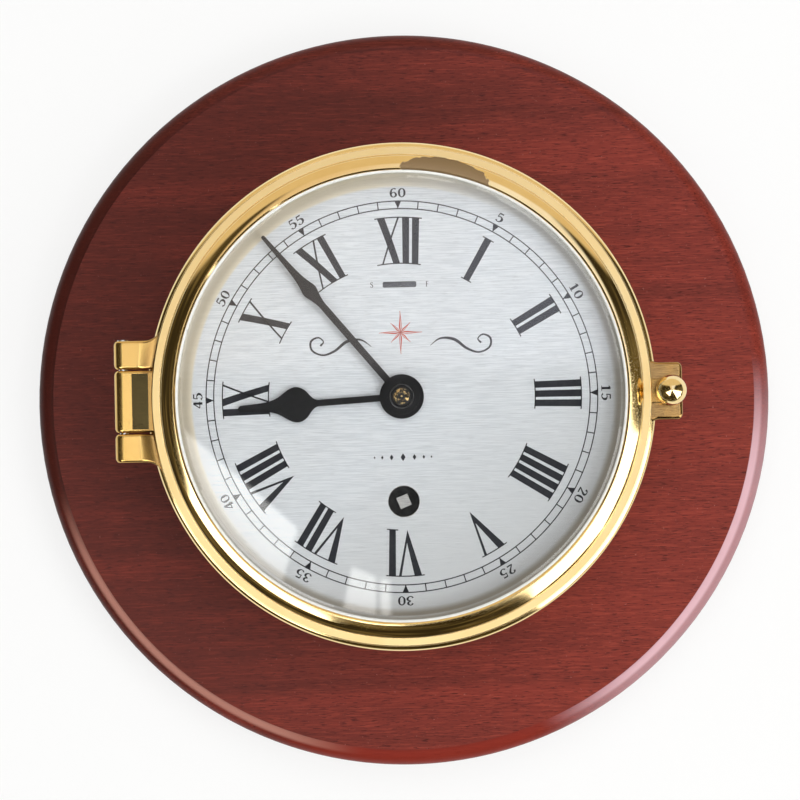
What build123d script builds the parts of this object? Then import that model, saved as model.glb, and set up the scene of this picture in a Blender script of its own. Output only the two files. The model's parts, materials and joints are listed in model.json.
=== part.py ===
"""Ship's bulkhead clock: a brass drum clock on a round wooden board.

The clock is modelled lying on its back. x runs right, y runs up to the twelve
and z runs out of the dial, with the wall at zero. Each node is turned upright
as it is exported. Lengths are in millimetres and angles in degrees.
"""
import os
from math import atan2, cos, degrees, hypot, pi, radians, sin, sqrt

from build123d import *

# Clearances
FIT = 0.01
RUNNING = 0.05
LOOSE = 0.2
SHAKE = 0.4
OVERRUN = 1.0

# Backboard and hanger
BOARD_RADIUS = 110.0
BOARD_THICKNESS = 19.0
BOARD_MOULDING = 4.8
BOARD_QUIRK = 0.8
BOARD_BACK_CHAMFER = 1.0
HANGER_DROP = 32.0
HANGER_LENGTH = 46.0
HANGER_WIDTH = 20.0
HANGER_THICKNESS = 1.5
HANGER_RECESS = 0.2
HANGER_CORNER = 3.0
HANGER_SCREW_MARGIN = 5.0
KEYHOLE_RADIUS = 4.5
KEYHOLE_SLOT_RADIUS = 2.3
KEYHOLE_RISE = 7.0
KEYHOLE_POCKET = 7.0
KEYHOLE_POCKET_MARGIN = 1.0

# Wood and machine screws: shank radius, head radius, head height, slot
WOOD_SCREW = (1.7, 3.2, 1.6)
WOOD_SCREW_LENGTH = 12.0
HANGER_SCREW = (1.3, 2.6, 0.8)
HANGER_SCREW_LENGTH = 10.0
MACHINE_SCREW = (1.2, 2.3, 1.4)
MACHINE_SCREW_LENGTH = 5.0
SMALL_SCREW = (0.8, 1.7, 1.0)
SMALL_SCREW_LENGTH = 3.6
SLOT_WIDTH = 0.6
SLOT_DEPTH = 0.5

# Case
CASE_FLOOR = 2.5
CASE_BORE_RADIUS = 68.5
CASE_WALL = 2.5
CASE_RIM_HEIGHT = 8.0
CASE_RIM_ROUND = 1.8
CASE_SCREW_MARGIN = 8.5
CASE_SCREW_ANGLES = (90.0, 210.0, 330.0)

# Bezel and glass
BEZEL_STEP = 1.6
BEZEL_SEAT_GAP = 0.2
BEZEL_FLAT_HEIGHT = 3.0
BEZEL_FLAT_WIDTH = 1.9
BEZEL_EDGE_CHAMFER = 0.3
BEZEL_LIP = 1.0
BEZEL_SPIGOT = 2.0
BEZEL_SPIGOT_WALL = 1.39
OVOLO_WIDTH = 4.5
OVOLO_ROUND_SHARE = 10 / 9
GLASS_THICKNESS = 3.0
GLASS_LIFT = 1.5
GLASS_LAP = 2.5
GLASS_BEVEL_WIDTH = 1.4
GLASS_BEVEL_DEPTH = 0.5
GLASS_RING_WIDTH = 1.8
GLASS_RING_HEIGHT = 1.2

# Hinge
HINGE_OFFSET = 6.6
HINGE_BARREL_RADIUS = 2.6
HINGE_PIN_RADIUS = 1.25
HINGE_LEAF_LENGTH = 17.8
HINGE_LUG_LENGTH = 8.2
HINGE_GAP = 0.35
HINGE_LEAF_UNDERCUT = 0.7
HINGE_INSET_DEPTH = 0.4
HINGE_INSET_MARGIN = 1.6
HINGE_PIN_HEAD = 0.3

# Latch and closing screw
LATCH_OFFSET = 5.3
LATCH_LUG_MARGIN = 3.7
LATCH_LUG_WIDTH = 16.5
LATCH_LUG_DEPTH = 10.0
LATCH_LUG_CORNER = 1.6
TONGUE_RADIUS = 3.5
TONGUE_THICKNESS = 2.5
CLOSING_SHANK_RADIUS = 2.0
CLOSING_BALL_RADIUS = 4.4
CLOSING_COLLAR_RADIUS = 3.0
CLOSING_COLLAR_HEIGHT = 0.9
CLOSING_BALL_SINK = 0.7
CLOSING_THREAD_LENGTH = 3.4
CLIP_DEPTH = 4.0
CLIP_THICKNESS = 0.6
CLIP_RADIUS = 2.5
CLIP_GROOVE_RADIUS = 1.6
CLIP_MOUTH = 1.4

# Dial
DIAL_MARGIN = 0.5
DIAL_SINK = 5.8
DIAL_THICKNESS = 1.2
DIAL_STANDOFF = 8.0
DIAL_CENTRE_HOLE = 3.3
WINDING_DROP = 30.25
WINDING_HOLE_RADIUS = 4.6
REGULATOR_RISE = 32.4
REGULATOR_SLOT_LENGTH = 9.7
REGULATOR_SLOT_WIDTH = 1.72
REGULATOR_SLOT_CORNER = 0.45
DIAL_FOOT_RADIUS = 1.5
DIAL_FOOT_MARGIN = 4.0
DIAL_FOOT_ANGLES = (30.0, 150.0, 250.0)
DIAL_PIN_RADIUS = 0.5
DIAL_PIN_LENGTH = 8.0

# Movement frame
PLATE_MARGIN = 15.5
PLATE_THICKNESS = 2.0
PLATE_GAP = 17.0
POST_HEIGHT = 4.5
POST_RADIUS = 3.0
POST_SPIGOT_RADIUS = 1.8
POST_MARGIN = 7.0
POST_ANGLES = (90.0, 212.0, 328.0)
PILLAR_RADIUS = 3.2
PILLAR_WAIST_RADIUS = 2.4
PILLAR_COLLAR = 2.5
PILLAR_MARGIN = 6.0
PILLAR_ANGLES = (45.0, 135.0, 198.0, 342.0)

# Hands, showing seven minutes to nine
HAND_THICKNESS = 0.8
HOUR_HAND_LIFT = 1.2
MINUTE_HAND_LIFT = 3.2
MINUTE_HAND_TURN = -320.1
HOUR_HAND_TURN = -266.67
HOUR_BOSS_RADIUS = 6.4
MINUTE_BOSS_RADIUS = 5.2
MINUTE_COLLET_RADIUS = 3.6
MINUTE_COLLET_HEIGHT = 0.5
HOUR_STEM = 0.95
HOUR_HAND_MARGIN = 21.7
HOUR_HAND_HALF_WIDTH = 5.1
# Distance from the centre in shares of the length, half width in shares of the widest
HOUR_HAND_SHARES = ((0.501, 0.186), (0.555, 0.333), (0.596, 0.765), (0.657, 1.0), (0.713, 0.824),
                    (0.765, 0.51), (0.821, 0.314), (0.907, 0.225), (1.0, 0.186))
MINUTE_STEM = 1.0
MINUTE_HAND_MARGIN = 7.4
MINUTE_HAND_HALF_WIDTH = 2.13
MINUTE_HAND_SHARES = ((0.553, 0.47), (0.604, 0.587), (0.637, 0.822), (0.663, 1.0), (0.696, 0.822),
                      (0.752, 0.54), (0.825, 0.4), (0.899, 0.329), (1.0, 0.258))
HAND_NUT_RADIUS = 2.6
HAND_NUT_HEIGHT = 0.9
ARBOR_TIP = 0.5

# Tooth shape, in modules and shares of the pitch
WHEEL_TOOTH_SHARE = 0.46
WHEEL_ADDENDUM = 1.05
WHEEL_DEDENDUM = 1.35
WHEEL_TIP_SHARE = 0.3
LEAF_SHARE = 0.34
LEAF_ADDENDUM = 0.55
LEAF_DEDENDUM = 1.55
LEAF_TIP_SHARE = 0.5

# Going train: teeth, leaves and module of each pair
GREAT_TEETH, INTERMEDIATE_LEAVES, GREAT_MODULE = 64, 8, 0.62
INTERMEDIATE_TEETH, CENTRE_LEAVES, INTERMEDIATE_MODULE = 48, 8, 0.52
CENTRE_TEETH, THIRD_LEAVES, CENTRE_MODULE = 64, 8, 0.375
THIRD_TEETH, FOURTH_LEAVES, THIRD_MODULE = 60, 8, 0.35
FOURTH_TEETH, ESCAPE_LEAVES, FOURTH_MODULE = 80, 8, 0.25
# Motion work
CANNON_LEAVES, MINUTE_TEETH, MOTION_MODULE = 14, 42, 0.4
MINUTE_LEAVES, HOUR_TEETH = 12, 48

# Where the train stands on the plates
THIRD_BEARING = -19.2
FOURTH_BEARING = 84.0
ESCAPE_BEARING = 105.8
MINUTE_BEARING = 180.0
BALANCE_RISE = 22.0

# Heights above the inside of the back plate
GREAT_LEVEL = 1.0
INTERMEDIATE_LEVEL = 15.0
CENTRE_LEVEL = 6.0
THIRD_LEVEL = 10.0
FOURTH_LEVEL = 13.0
# Heights above the front of the front plate
CANNON_LEVEL = 0.9
HOUR_LEVEL = 3.6
RATCHET_LEVEL = 0.4
ESCAPE_LEVEL = 1.2
ROLLER_LEVEL = 2.4
BALANCE_LEVEL = 3.2
HAIRSPRING_LEVEL = 4.3
BRIDGE_LEVEL = 5.0

# Wheels and arbors
GREAT_THICKNESS = 2.0
WHEEL_THICKNESS = 0.8
PINION_LENGTH = 1.8
GREAT_PINION_LENGTH = 3.0
RIM_WIDTH = 1.4
HUB_MARGIN = 1.4
SPOKE_WIDTH = 1.3
SPOKES = 5
PIVOT_RADIUS = 0.6
ARBOR_RADIUS = 1.0
ESCAPE_ARBOR_RADIUS = 0.6
SHOULDER_GAP = 0.3
CENTRE_ARBOR_RADIUS = 1.2
CANNON_PIPE_RADIUS = 1.9
HOUR_PIPE_RADIUS = 2.8
MINUTE_STUD_RADIUS = 1.0
MINUTE_STUD_CAP = 0.5

# Barrel and winding work
DRUM_RADIUS = 17.0
DRUM_WALL = 1.2
DRUM_HEIGHT = 11.4
LID_THICKNESS = 1.2
BARREL_ARBOR_RADIUS = 2.2
BARREL_CORE_RADIUS = 4.4
WINDING_SQUARE = 3.4
WINDING_SQUARE_TURN = 22.0
WINDING_TIP_SINK = 0.6
MAINSPRING_STRIP = 0.5
MAINSPRING_HALF_TURNS = 13
RATCHET_TEETH = 24
RATCHET_RADIUS = 8.6
RATCHET_TOOTH = 1.3
RATCHET_THICKNESS = 1.4
CLICK_ARM_WIDTH = 0.9
CLICK_ARM_LENGTH = 17.0
CLICK_FOOT_RADIUS = 2.6
CLICK_NOSE = 0.85

# Escapement and balance
ESCAPE_TEETH = 15
ESCAPE_RADIUS = 3.2
ESCAPE_ROOT_RADIUS = 2.3
ESCAPE_LEAN_SHARE = 0.35
ESCAPE_THICKNESS = 0.7
LEVER_FROM_ESCAPE = 4.2
LEVER_STAFF_RADIUS = 0.5
LEVER_PIVOT_RADIUS = 0.3
LEVER_ARM_WIDTH = 0.9
LEVER_HUB_RADIUS = 1.1
PALLET_ANGLE = 48.0
PALLET_CLEARANCE = 0.45
PALLET_LENGTH = 1.1
PALLET_WIDTH = 0.8
FORK_REACH = 6.2
FORK_WIDTH = 2.0
FORK_LENGTH = 1.4
FORK_NOTCH = 0.8
BANKING_REACH = 3.6
BANKING_RADIUS = 0.35
BANKING_SWING = 5.0
BALANCE_RADIUS = 6.0
BALANCE_RIM = 0.9
BALANCE_THICKNESS = 0.8
BALANCE_ARM = 1.2
BALANCE_HUB_RADIUS = 1.2
STAFF_RADIUS = 0.6
STAFF_PIVOT_RADIUS = 0.3
ROLLER_RADIUS = 1.7
ROLLER_THICKNESS = 0.5
IMPULSE_REACH = 1.25
IMPULSE_RADIUS = 0.25
IMPULSE_LENGTH = 0.4
HAIRSPRING_STRIP = 0.15
HAIRSPRING_HEIGHT = 0.4
HAIRSPRING_INNER = 0.9
HAIRSPRING_PITCH = 0.6
HAIRSPRING_HALF_TURNS = 10
HAIRSPRING_STUD = 0.8
BRIDGE_THICKNESS = 1.4
BRIDGE_WIDTH = 5.0
BRIDGE_FOOT_RADIUS = 2.4
BRIDGE_FOOT_MARGIN = 6.6
BRIDGE_BALANCE_MARGIN = 9.6
INDEX_BOSS_RADIUS = 2.0
INDEX_RING_WIDTH = 1.4
INDEX_THICKNESS = 0.6
INDEX_LIFT = 0.2
INDEX_TAIL_WIDTH = 1.5
INDEX_PIN_RADIUS = 0.5

# Radii and reaches that follow from the sizes above
BOARD_FACE_RADIUS = BOARD_RADIUS - BOARD_MOULDING
HANGER_HEIGHT = BOARD_RADIUS - HANGER_DROP
HANGER_SCREW_REACH = HANGER_LENGTH / 2 - HANGER_SCREW_MARGIN
CASE_DRUM_RADIUS = CASE_BORE_RADIUS + CASE_WALL
CASE_SCREW_CIRCLE = CASE_BORE_RADIUS - CASE_SCREW_MARGIN
SPIGOT_RADIUS = CASE_BORE_RADIUS - SHAKE
GLASS_SEAT_RADIUS = SPIGOT_RADIUS - BEZEL_SPIGOT_WALL
GLASS_RADIUS = GLASS_SEAT_RADIUS - FIT
GLASS_RING_INNER = GLASS_RADIUS - GLASS_RING_WIDTH
BEZEL_OPENING_RADIUS = GLASS_RADIUS - GLASS_LAP
OVOLO_CREST_RADIUS = BEZEL_OPENING_RADIUS + BEZEL_LIP
OVOLO_FOOT_RADIUS = OVOLO_CREST_RADIUS + OVOLO_WIDTH
OVOLO_RADIUS = OVOLO_WIDTH * OVOLO_ROUND_SHARE
BEZEL_RADIUS = OVOLO_FOOT_RADIUS + BEZEL_FLAT_WIDTH
CASE_RIM_RADIUS = BEZEL_RADIUS + BEZEL_STEP
HINGE_REACH = CASE_RIM_RADIUS + HINGE_OFFSET
LATCH_REACH = BEZEL_RADIUS + LATCH_OFFSET
LATCH_LUG_REACH = LATCH_REACH + LATCH_LUG_MARGIN
DIAL_RADIUS = CASE_BORE_RADIUS - DIAL_MARGIN
HOUR_HAND_LENGTH = DIAL_RADIUS - HOUR_HAND_MARGIN
MINUTE_HAND_LENGTH = DIAL_RADIUS - MINUTE_HAND_MARGIN
PLATE_RADIUS = CASE_BORE_RADIUS - PLATE_MARGIN
DIAL_FOOT_CIRCLE = PLATE_RADIUS - DIAL_FOOT_MARGIN
POST_CIRCLE = PLATE_RADIUS - POST_MARGIN
PILLAR_CIRCLE = PLATE_RADIUS - PILLAR_MARGIN

# Levels that follow from the sizes above
FLOOR_TOP = BOARD_THICKNESS + CASE_FLOOR
BACK_PLATE_Z = FLOOR_TOP + POST_HEIGHT
INSIDE_Z = BACK_PLATE_Z + PLATE_THICKNESS
FRONT_PLATE_Z = INSIDE_Z + PLATE_GAP
FRONT_Z = FRONT_PLATE_Z + PLATE_THICKNESS
DIAL_Z = FRONT_Z + DIAL_STANDOFF
DIAL_FACE = DIAL_Z + DIAL_THICKNESS
CASE_FRONT = DIAL_FACE + DIAL_SINK
BEZEL_Z = CASE_FRONT + BEZEL_SEAT_GAP
BEZEL_FLAT_Z = BEZEL_Z + BEZEL_FLAT_HEIGHT
OVOLO_CENTRE_Z = BEZEL_FLAT_Z - sqrt(OVOLO_RADIUS**2 - OVOLO_WIDTH**2)
BEZEL_CREST_Z = OVOLO_CENTRE_Z + OVOLO_RADIUS
GLASS_FRONT_Z = BEZEL_FLAT_Z + GLASS_LIFT
GLASS_BACK_Z = GLASS_FRONT_Z - GLASS_THICKNESS
HINGE_Z = BEZEL_FLAT_Z - HINGE_BARREL_RADIUS
TONGUE_TOP = BEZEL_Z + TONGUE_THICKNESS
CLIP_Z = CASE_FRONT - CLIP_DEPTH
THREAD_Z = CLIP_Z - SHAKE
CLOSING_TIP_Z = THREAD_Z - CLOSING_THREAD_LENGTH
HOUR_HAND_Z = DIAL_FACE + HOUR_HAND_LIFT
MINUTE_HAND_Z = DIAL_FACE + MINUTE_HAND_LIFT
MINUTE_HAND_TOP = MINUTE_HAND_Z + HAND_THICKNESS
COLLET_TOP = MINUTE_HAND_TOP + MINUTE_COLLET_HEIGHT
BRIDGE_Z = FRONT_Z + BRIDGE_LEVEL
BRIDGE_TOP = BRIDGE_Z + BRIDGE_THICKNESS
INDEX_Z = BRIDGE_TOP + INDEX_LIFT

BASE = (Align.CENTER, Align.CENTER, Align.MIN)


def polar(radius, angle, origin=(0, 0)):
    """Point at a radius and an angle from an origin."""
    return (origin[0] + radius * cos(radians(angle)), origin[1] + radius * sin(radians(angle)))


def bearing(start, end):
    """Angle of the line from start to end."""
    return degrees(atan2(end[1] - start[1], end[0] - start[0]))


def mesh_distance(teeth, leaves, module):
    """Centre distance of a meshing pair."""
    return (teeth + leaves) * module / 2


# Places of the arbors on the plates
CENTRE = (0.0, 0.0)
BARREL = (0.0, -WINDING_DROP)
GREAT_DISTANCE = mesh_distance(GREAT_TEETH, INTERMEDIATE_LEAVES, GREAT_MODULE)
INTERMEDIATE_DISTANCE = mesh_distance(INTERMEDIATE_TEETH, CENTRE_LEAVES, INTERMEDIATE_MODULE)
INTERMEDIATE_FALL = ((INTERMEDIATE_DISTANCE**2 - GREAT_DISTANCE**2 + WINDING_DROP**2)
                     / (2 * WINDING_DROP))
INTERMEDIATE = (-sqrt(INTERMEDIATE_DISTANCE**2 - INTERMEDIATE_FALL**2), -INTERMEDIATE_FALL)
THIRD = polar(mesh_distance(CENTRE_TEETH, THIRD_LEAVES, CENTRE_MODULE), THIRD_BEARING)
FOURTH = polar(mesh_distance(THIRD_TEETH, FOURTH_LEAVES, THIRD_MODULE), FOURTH_BEARING, THIRD)
ESCAPE = polar(mesh_distance(FOURTH_TEETH, ESCAPE_LEAVES, FOURTH_MODULE), ESCAPE_BEARING, FOURTH)
BALANCE = (0.0, BALANCE_RISE)
LEVER_BEARING = bearing(ESCAPE, BALANCE)
LEVER = polar(LEVER_FROM_ESCAPE, LEVER_BEARING, ESCAPE)
MOTION_DISTANCE = mesh_distance(CANNON_LEAVES, MINUTE_TEETH, MOTION_MODULE)
MINUTE_STUD = polar(MOTION_DISTANCE, MINUTE_BEARING)
HOUR_MODULE = MOTION_DISTANCE * 2 / (MINUTE_LEAVES + HOUR_TEETH)
ESCAPE_FOOT = polar(BRIDGE_FOOT_MARGIN, LEVER_BEARING + 180, ESCAPE)
BALANCE_FOOT = polar(BRIDGE_BALANCE_MARGIN, LEVER_BEARING, BALANCE)
BRIDGE_FEET = (ESCAPE_FOOT, BALANCE_FOOT)
CLICK_FOOT = (BARREL[0] + CLICK_ARM_LENGTH, BARREL[1] + RATCHET_RADIUS + CLICK_FOOT_RADIUS)


def meshed(phase, teeth, mate_teeth, angle):
    """Phase of the mate that puts a gap where the first wheel has a tooth."""
    return angle + 180 - (phase - angle) * teeth / mate_teeth + 180 / mate_teeth


# Angle of one tooth of each wheel, so that every pair is in mesh at rest
GREAT_PHASE = 0.0
INTERMEDIATE_PHASE = meshed(GREAT_PHASE, GREAT_TEETH, INTERMEDIATE_LEAVES,
                            bearing(BARREL, INTERMEDIATE))
CENTRE_PHASE = meshed(INTERMEDIATE_PHASE, INTERMEDIATE_TEETH, CENTRE_LEAVES,
                      bearing(INTERMEDIATE, CENTRE))
THIRD_PHASE = meshed(CENTRE_PHASE, CENTRE_TEETH, THIRD_LEAVES, bearing(CENTRE, THIRD))
FOURTH_PHASE = meshed(THIRD_PHASE, THIRD_TEETH, FOURTH_LEAVES, bearing(THIRD, FOURTH))
ESCAPE_PHASE = meshed(FOURTH_PHASE, FOURTH_TEETH, ESCAPE_LEAVES, bearing(FOURTH, ESCAPE))
MINUTE_PHASE = meshed(0.0, CANNON_LEAVES, MINUTE_TEETH, MINUTE_BEARING)
HOUR_PHASE = meshed(MINUTE_PHASE, MINUTE_LEAVES, HOUR_TEETH, MINUTE_BEARING + 180)


def disc(radius, low, high, at=CENTRE):
    """Solid cylinder between two heights."""
    return Pos(at[0], at[1], low) * Cylinder(radius, high - low, align=BASE)


def tube(outer, inner, low, high, at=CENTRE):
    """Hollow cylinder between two heights."""
    return disc(outer, low, high, at) - disc(inner, low - OVERRUN, high + OVERRUN, at)


def block(low, high):
    """Box between two opposite corners."""
    size = [b - a for a, b in zip(low, high)]
    middle = [(a + b) / 2 for a, b in zip(low, high)]
    return Pos(*middle) * Box(*size)


def prism(points, low, high):
    """Straight-sided plate between two heights."""
    return Pos(0, 0, low) * extrude(make_face(Polyline(*points, close=True)), amount=high - low)


def bar(start, end, width, low, high):
    """Flat bar with round ends from start to end."""
    length = hypot(end[0] - start[0], end[1] - start[1])
    slot = Pos(length / 2, 0) * SlotCenterToCenter(length, width)
    face = Pos(*start) * Rot(0, 0, bearing(start, end)) * slot
    return Pos(0, 0, low) * extrude(face, amount=high - low)


def turned(profile):
    """Solid of revolution from a profile of radius and height."""
    return revolve(Plane.XZ * make_face(profile), Axis.Z)


def group(shapes):
    """Several separate solids that make one node."""
    return Compound([solid for shape in shapes for solid in shape.solids()])


def ring_places(radius, angles):
    """Places on a circle."""
    return [polar(radius, angle) for angle in angles]


def screw(sizes, length, at, seat):
    """Slotted screw whose head stands on a seat and whose shank goes down."""
    shank, head, height = sizes
    top = seat + height
    body = disc(shank, seat - length, seat + FIT, at) + disc(head, seat, top, at)
    slot = block((at[0] - head - OVERRUN, at[1] - SLOT_WIDTH / 2, top - SLOT_DEPTH),
                 (at[0] + head + OVERRUN, at[1] + SLOT_WIDTH / 2, top + OVERRUN))
    return body - slot


def tooth_points(teeth, module, phase, tooth, addendum, dedendum, tip, at):
    """Outline of a toothed wheel with straight flanks."""
    pitch_radius = teeth * module / 2
    root_radius = pitch_radius - dedendum * module
    tip_radius = pitch_radius + addendum * module
    half = 180 / teeth * tooth
    steps = ((-half, root_radius), (-half, pitch_radius), (-half * tip, tip_radius),
             (half * tip, tip_radius), (half, pitch_radius), (half, root_radius))
    return [polar(radius, phase + 360 / teeth * index + angle, at)
            for index in range(teeth) for angle, radius in steps]


def wheel_points(teeth, module, phase, at):
    """Outline of a driving wheel."""
    return tooth_points(teeth, module, phase, WHEEL_TOOTH_SHARE, WHEEL_ADDENDUM, WHEEL_DEDENDUM,
                        WHEEL_TIP_SHARE, at)


def leaf_points(leaves, module, phase, at):
    """Outline of a pinion."""
    return tooth_points(leaves, module, phase, LEAF_SHARE, LEAF_ADDENDUM, LEAF_DEDENDUM,
                        LEAF_TIP_SHARE, at)


def crossed_wheel(teeth, module, phase, at, seat_radius, low, high):
    """Toothed wheel with a rim, spokes and a hub bored for its seat."""
    rim = teeth * module / 2 - WHEEL_DEDENDUM * module - RIM_WIDTH
    hub = seat_radius + HUB_MARGIN
    window = tube(rim, hub, low - OVERRUN, high + OVERRUN, at)
    for index in range(SPOKES):
        window -= bar(at, polar(rim, phase + 360 / SPOKES * index, at), SPOKE_WIDTH,
                      low - 2 * OVERRUN, high + 2 * OVERRUN)
    wheel = prism(wheel_points(teeth, module, phase, at), low, high) - window
    return wheel - disc(seat_radius + FIT, low - OVERRUN, high + OVERRUN, at)


def pinion_arbor(leaves, module, phase, at, level, length, radius):
    """Pinion cut in one piece with its arbor and its two pivots."""
    middle = INSIDE_Z + level
    arbor = disc(radius, INSIDE_Z + SHOULDER_GAP, FRONT_PLATE_Z - SHOULDER_GAP, at)
    pivots = disc(PIVOT_RADIUS, BACK_PLATE_Z, FRONT_Z, at)
    leaves_solid = prism(leaf_points(leaves, module, phase, at), middle - length / 2, middle + length / 2)
    return arbor + pivots + leaves_solid


def wheel_between(teeth, module, phase, at, level, seat_radius):
    """Crossed wheel at a level between the plates."""
    middle = INSIDE_Z + level
    return crossed_wheel(teeth, module, phase, at, seat_radius,
                         middle - WHEEL_THICKNESS / 2, middle + WHEEL_THICKNESS / 2)


def spiral(inner, pitch, half_turns, strip, low, high, at, start):
    """Flat spiral strip made of half circles."""
    outer_edge, inner_edge = [], []
    for index in range(half_turns):
        radius = inner + pitch * (index + 0.5) / 2
        shift = pitch / 4 * (-1) ** index
        first = start + 180 * index
        middle = Pos(*at) * Rot(0, 0, start) * Pos(-shift, 0)
        for edge, side in ((outer_edge, strip / 2), (inner_edge, -strip / 2)):
            arc = CenterArc((0, 0), radius + side, first - start, 180)
            edge.append(middle * arc)
    ends = [Line(outer_edge[0] @ 0, inner_edge[0] @ 0), Line(outer_edge[-1] @ 1, inner_edge[-1] @ 1)]
    face = make_face(outer_edge + inner_edge + ends)
    return Pos(0, 0, low) * extrude(face, amount=high - low)


def backboard():
    """Round board with a quirk and a quarter round on its front edge."""
    edge = BOARD_RADIUS - BOARD_FACE_RADIUS
    shoulder = BOARD_THICKNESS - BOARD_QUIRK
    corner = (BOARD_FACE_RADIUS + edge * sin(radians(45)), shoulder - edge + edge * cos(radians(45)))
    profile = Polyline((BOARD_RADIUS, shoulder - edge), (BOARD_RADIUS, BOARD_BACK_CHAMFER),
                       (BOARD_RADIUS - BOARD_BACK_CHAMFER, 0), (0, 0), (0, BOARD_THICKNESS),
                       (BOARD_FACE_RADIUS, BOARD_THICKNESS), (BOARD_FACE_RADIUS, shoulder))
    profile += ThreePointArc((BOARD_FACE_RADIUS, shoulder), corner, (BOARD_RADIUS, shoulder - edge))
    board = turned(profile)
    recess = HANGER_RECESS + HANGER_THICKNESS
    board -= hanger_outline(LOOSE, -OVERRUN, recess)
    pocket = KEYHOLE_RADIUS + KEYHOLE_POCKET_MARGIN
    board -= bar((0, HANGER_HEIGHT), (0, HANGER_HEIGHT + KEYHOLE_RISE), 2 * pocket,
                 0, recess + KEYHOLE_POCKET)
    for at in hanger_screw_places():
        board -= disc(HANGER_SCREW[0] + FIT, 0, recess + HANGER_SCREW_LENGTH, at)
    for at in ring_places(CASE_SCREW_CIRCLE, CASE_SCREW_ANGLES):
        board -= disc(WOOD_SCREW[0] + FIT, FLOOR_TOP - WOOD_SCREW_LENGTH, BOARD_THICKNESS + OVERRUN, at)
    return board


def hanger_outline(margin, low, high):
    """Rounded plate shape of the hanger, grown by a margin."""
    face = Pos(0, HANGER_HEIGHT + KEYHOLE_RISE / 2) * RectangleRounded(
        HANGER_LENGTH + 2 * margin, HANGER_WIDTH + 2 * margin, HANGER_CORNER + margin)
    return Pos(0, 0, low) * extrude(face, amount=high - low)


def hanger_screw_places():
    """Places of the two hanger screws."""
    height = HANGER_HEIGHT + KEYHOLE_RISE / 2
    return ((-HANGER_SCREW_REACH, height), (HANGER_SCREW_REACH, height))


def hanger_plate():
    """Keyhole plate let into the back of the board."""
    top = HANGER_RECESS + HANGER_THICKNESS
    plate = hanger_outline(0, HANGER_RECESS, top)
    plate -= disc(KEYHOLE_RADIUS, -OVERRUN, top + OVERRUN, (0, HANGER_HEIGHT))
    plate -= bar((0, HANGER_HEIGHT), (0, HANGER_HEIGHT + KEYHOLE_RISE), 2 * KEYHOLE_SLOT_RADIUS,
                 -OVERRUN, top + OVERRUN)
    for at in hanger_screw_places():
        plate -= disc(HANGER_SCREW[0] + FIT, -OVERRUN, top + OVERRUN, at)
        plate -= disc(HANGER_SCREW[1] + LOOSE, -OVERRUN, HANGER_RECESS + HANGER_SCREW[2], at)
    return plate


def hanger_screws():
    """Two screws that hold the hanger plate, heads sunk in the plate."""
    seat = HANGER_RECESS + HANGER_SCREW[2]
    upright = screw(HANGER_SCREW, HANGER_SCREW_LENGTH, CENTRE, 0)
    return group([Pos(at[0], at[1], seat) * Rot(180, 0, 0) * upright for at in hanger_screw_places()])


def case_shell():
    """Drum with a floor, a rounded rim, two hinge lugs and a latch lug."""
    rim_z = CASE_FRONT - CASE_RIM_HEIGHT
    slope = CASE_RIM_RADIUS - CASE_DRUM_RADIUS
    edge = CASE_RIM_RADIUS - CASE_RIM_ROUND
    turn = CASE_RIM_ROUND * sin(radians(45))
    profile = Polyline((edge, CASE_FRONT), (CASE_BORE_RADIUS, CASE_FRONT), (CASE_BORE_RADIUS, FLOOR_TOP),
                       (0, FLOOR_TOP), (0, BOARD_THICKNESS), (CASE_DRUM_RADIUS, BOARD_THICKNESS),
                       (CASE_DRUM_RADIUS, rim_z - slope), (CASE_RIM_RADIUS, rim_z),
                       (CASE_RIM_RADIUS, CASE_FRONT - CASE_RIM_ROUND))
    profile += ThreePointArc((CASE_RIM_RADIUS, CASE_FRONT - CASE_RIM_ROUND),
                             (edge + turn, CASE_FRONT - CASE_RIM_ROUND + turn), (edge, CASE_FRONT))
    shell = turned(profile) + hinge_lugs() + latch_lug()
    for at in ring_places(CASE_SCREW_CIRCLE, CASE_SCREW_ANGLES):
        shell -= disc(WOOD_SCREW[0] + FIT, BOARD_THICKNESS - OVERRUN, FLOOR_TOP + OVERRUN, at)
    for at in ring_places(POST_CIRCLE, POST_ANGLES):
        shell -= disc(POST_SPIGOT_RADIUS + FIT, BOARD_THICKNESS - OVERRUN, FLOOR_TOP + OVERRUN, at)
    return shell


def knuckle(length, offset, inner, low):
    """Hinge barrel along y with a flat-topped arm reaching in to the ring."""
    barrel = Pos(-HINGE_REACH, offset, HINGE_Z) * Rot(90, 0, 0) * Cylinder(HINGE_BARREL_RADIUS, length)
    arm = block((-HINGE_REACH, offset - length / 2, low), (-inner, offset + length / 2, BEZEL_FLAT_Z))
    return barrel + arm


def hinge_bore(radius):
    """Hole for the hinge pin."""
    span = HINGE_LEAF_LENGTH + 2 * (HINGE_LUG_LENGTH + HINGE_GAP + OVERRUN)
    return Pos(-HINGE_REACH, 0, HINGE_Z) * Rot(90, 0, 0) * Cylinder(radius, span)


def hinge_lugs():
    """The two outer knuckles, cut clear of the bezel."""
    offset = HINGE_LEAF_LENGTH / 2 + HINGE_GAP + HINGE_LUG_LENGTH / 2
    lugs = [knuckle(HINGE_LUG_LENGTH, side * offset, CASE_DRUM_RADIUS, HINGE_Z - HINGE_BARREL_RADIUS)
            for side in (-1, 1)]
    clear = disc(BEZEL_RADIUS + SHAKE, CASE_FRONT, BEZEL_FLAT_Z + OVERRUN)
    clear += disc(CASE_DRUM_RADIUS, BOARD_THICKNESS, CASE_FRONT)
    return [lug - clear - hinge_bore(HINGE_PIN_RADIUS + FIT) for lug in lugs]


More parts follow.
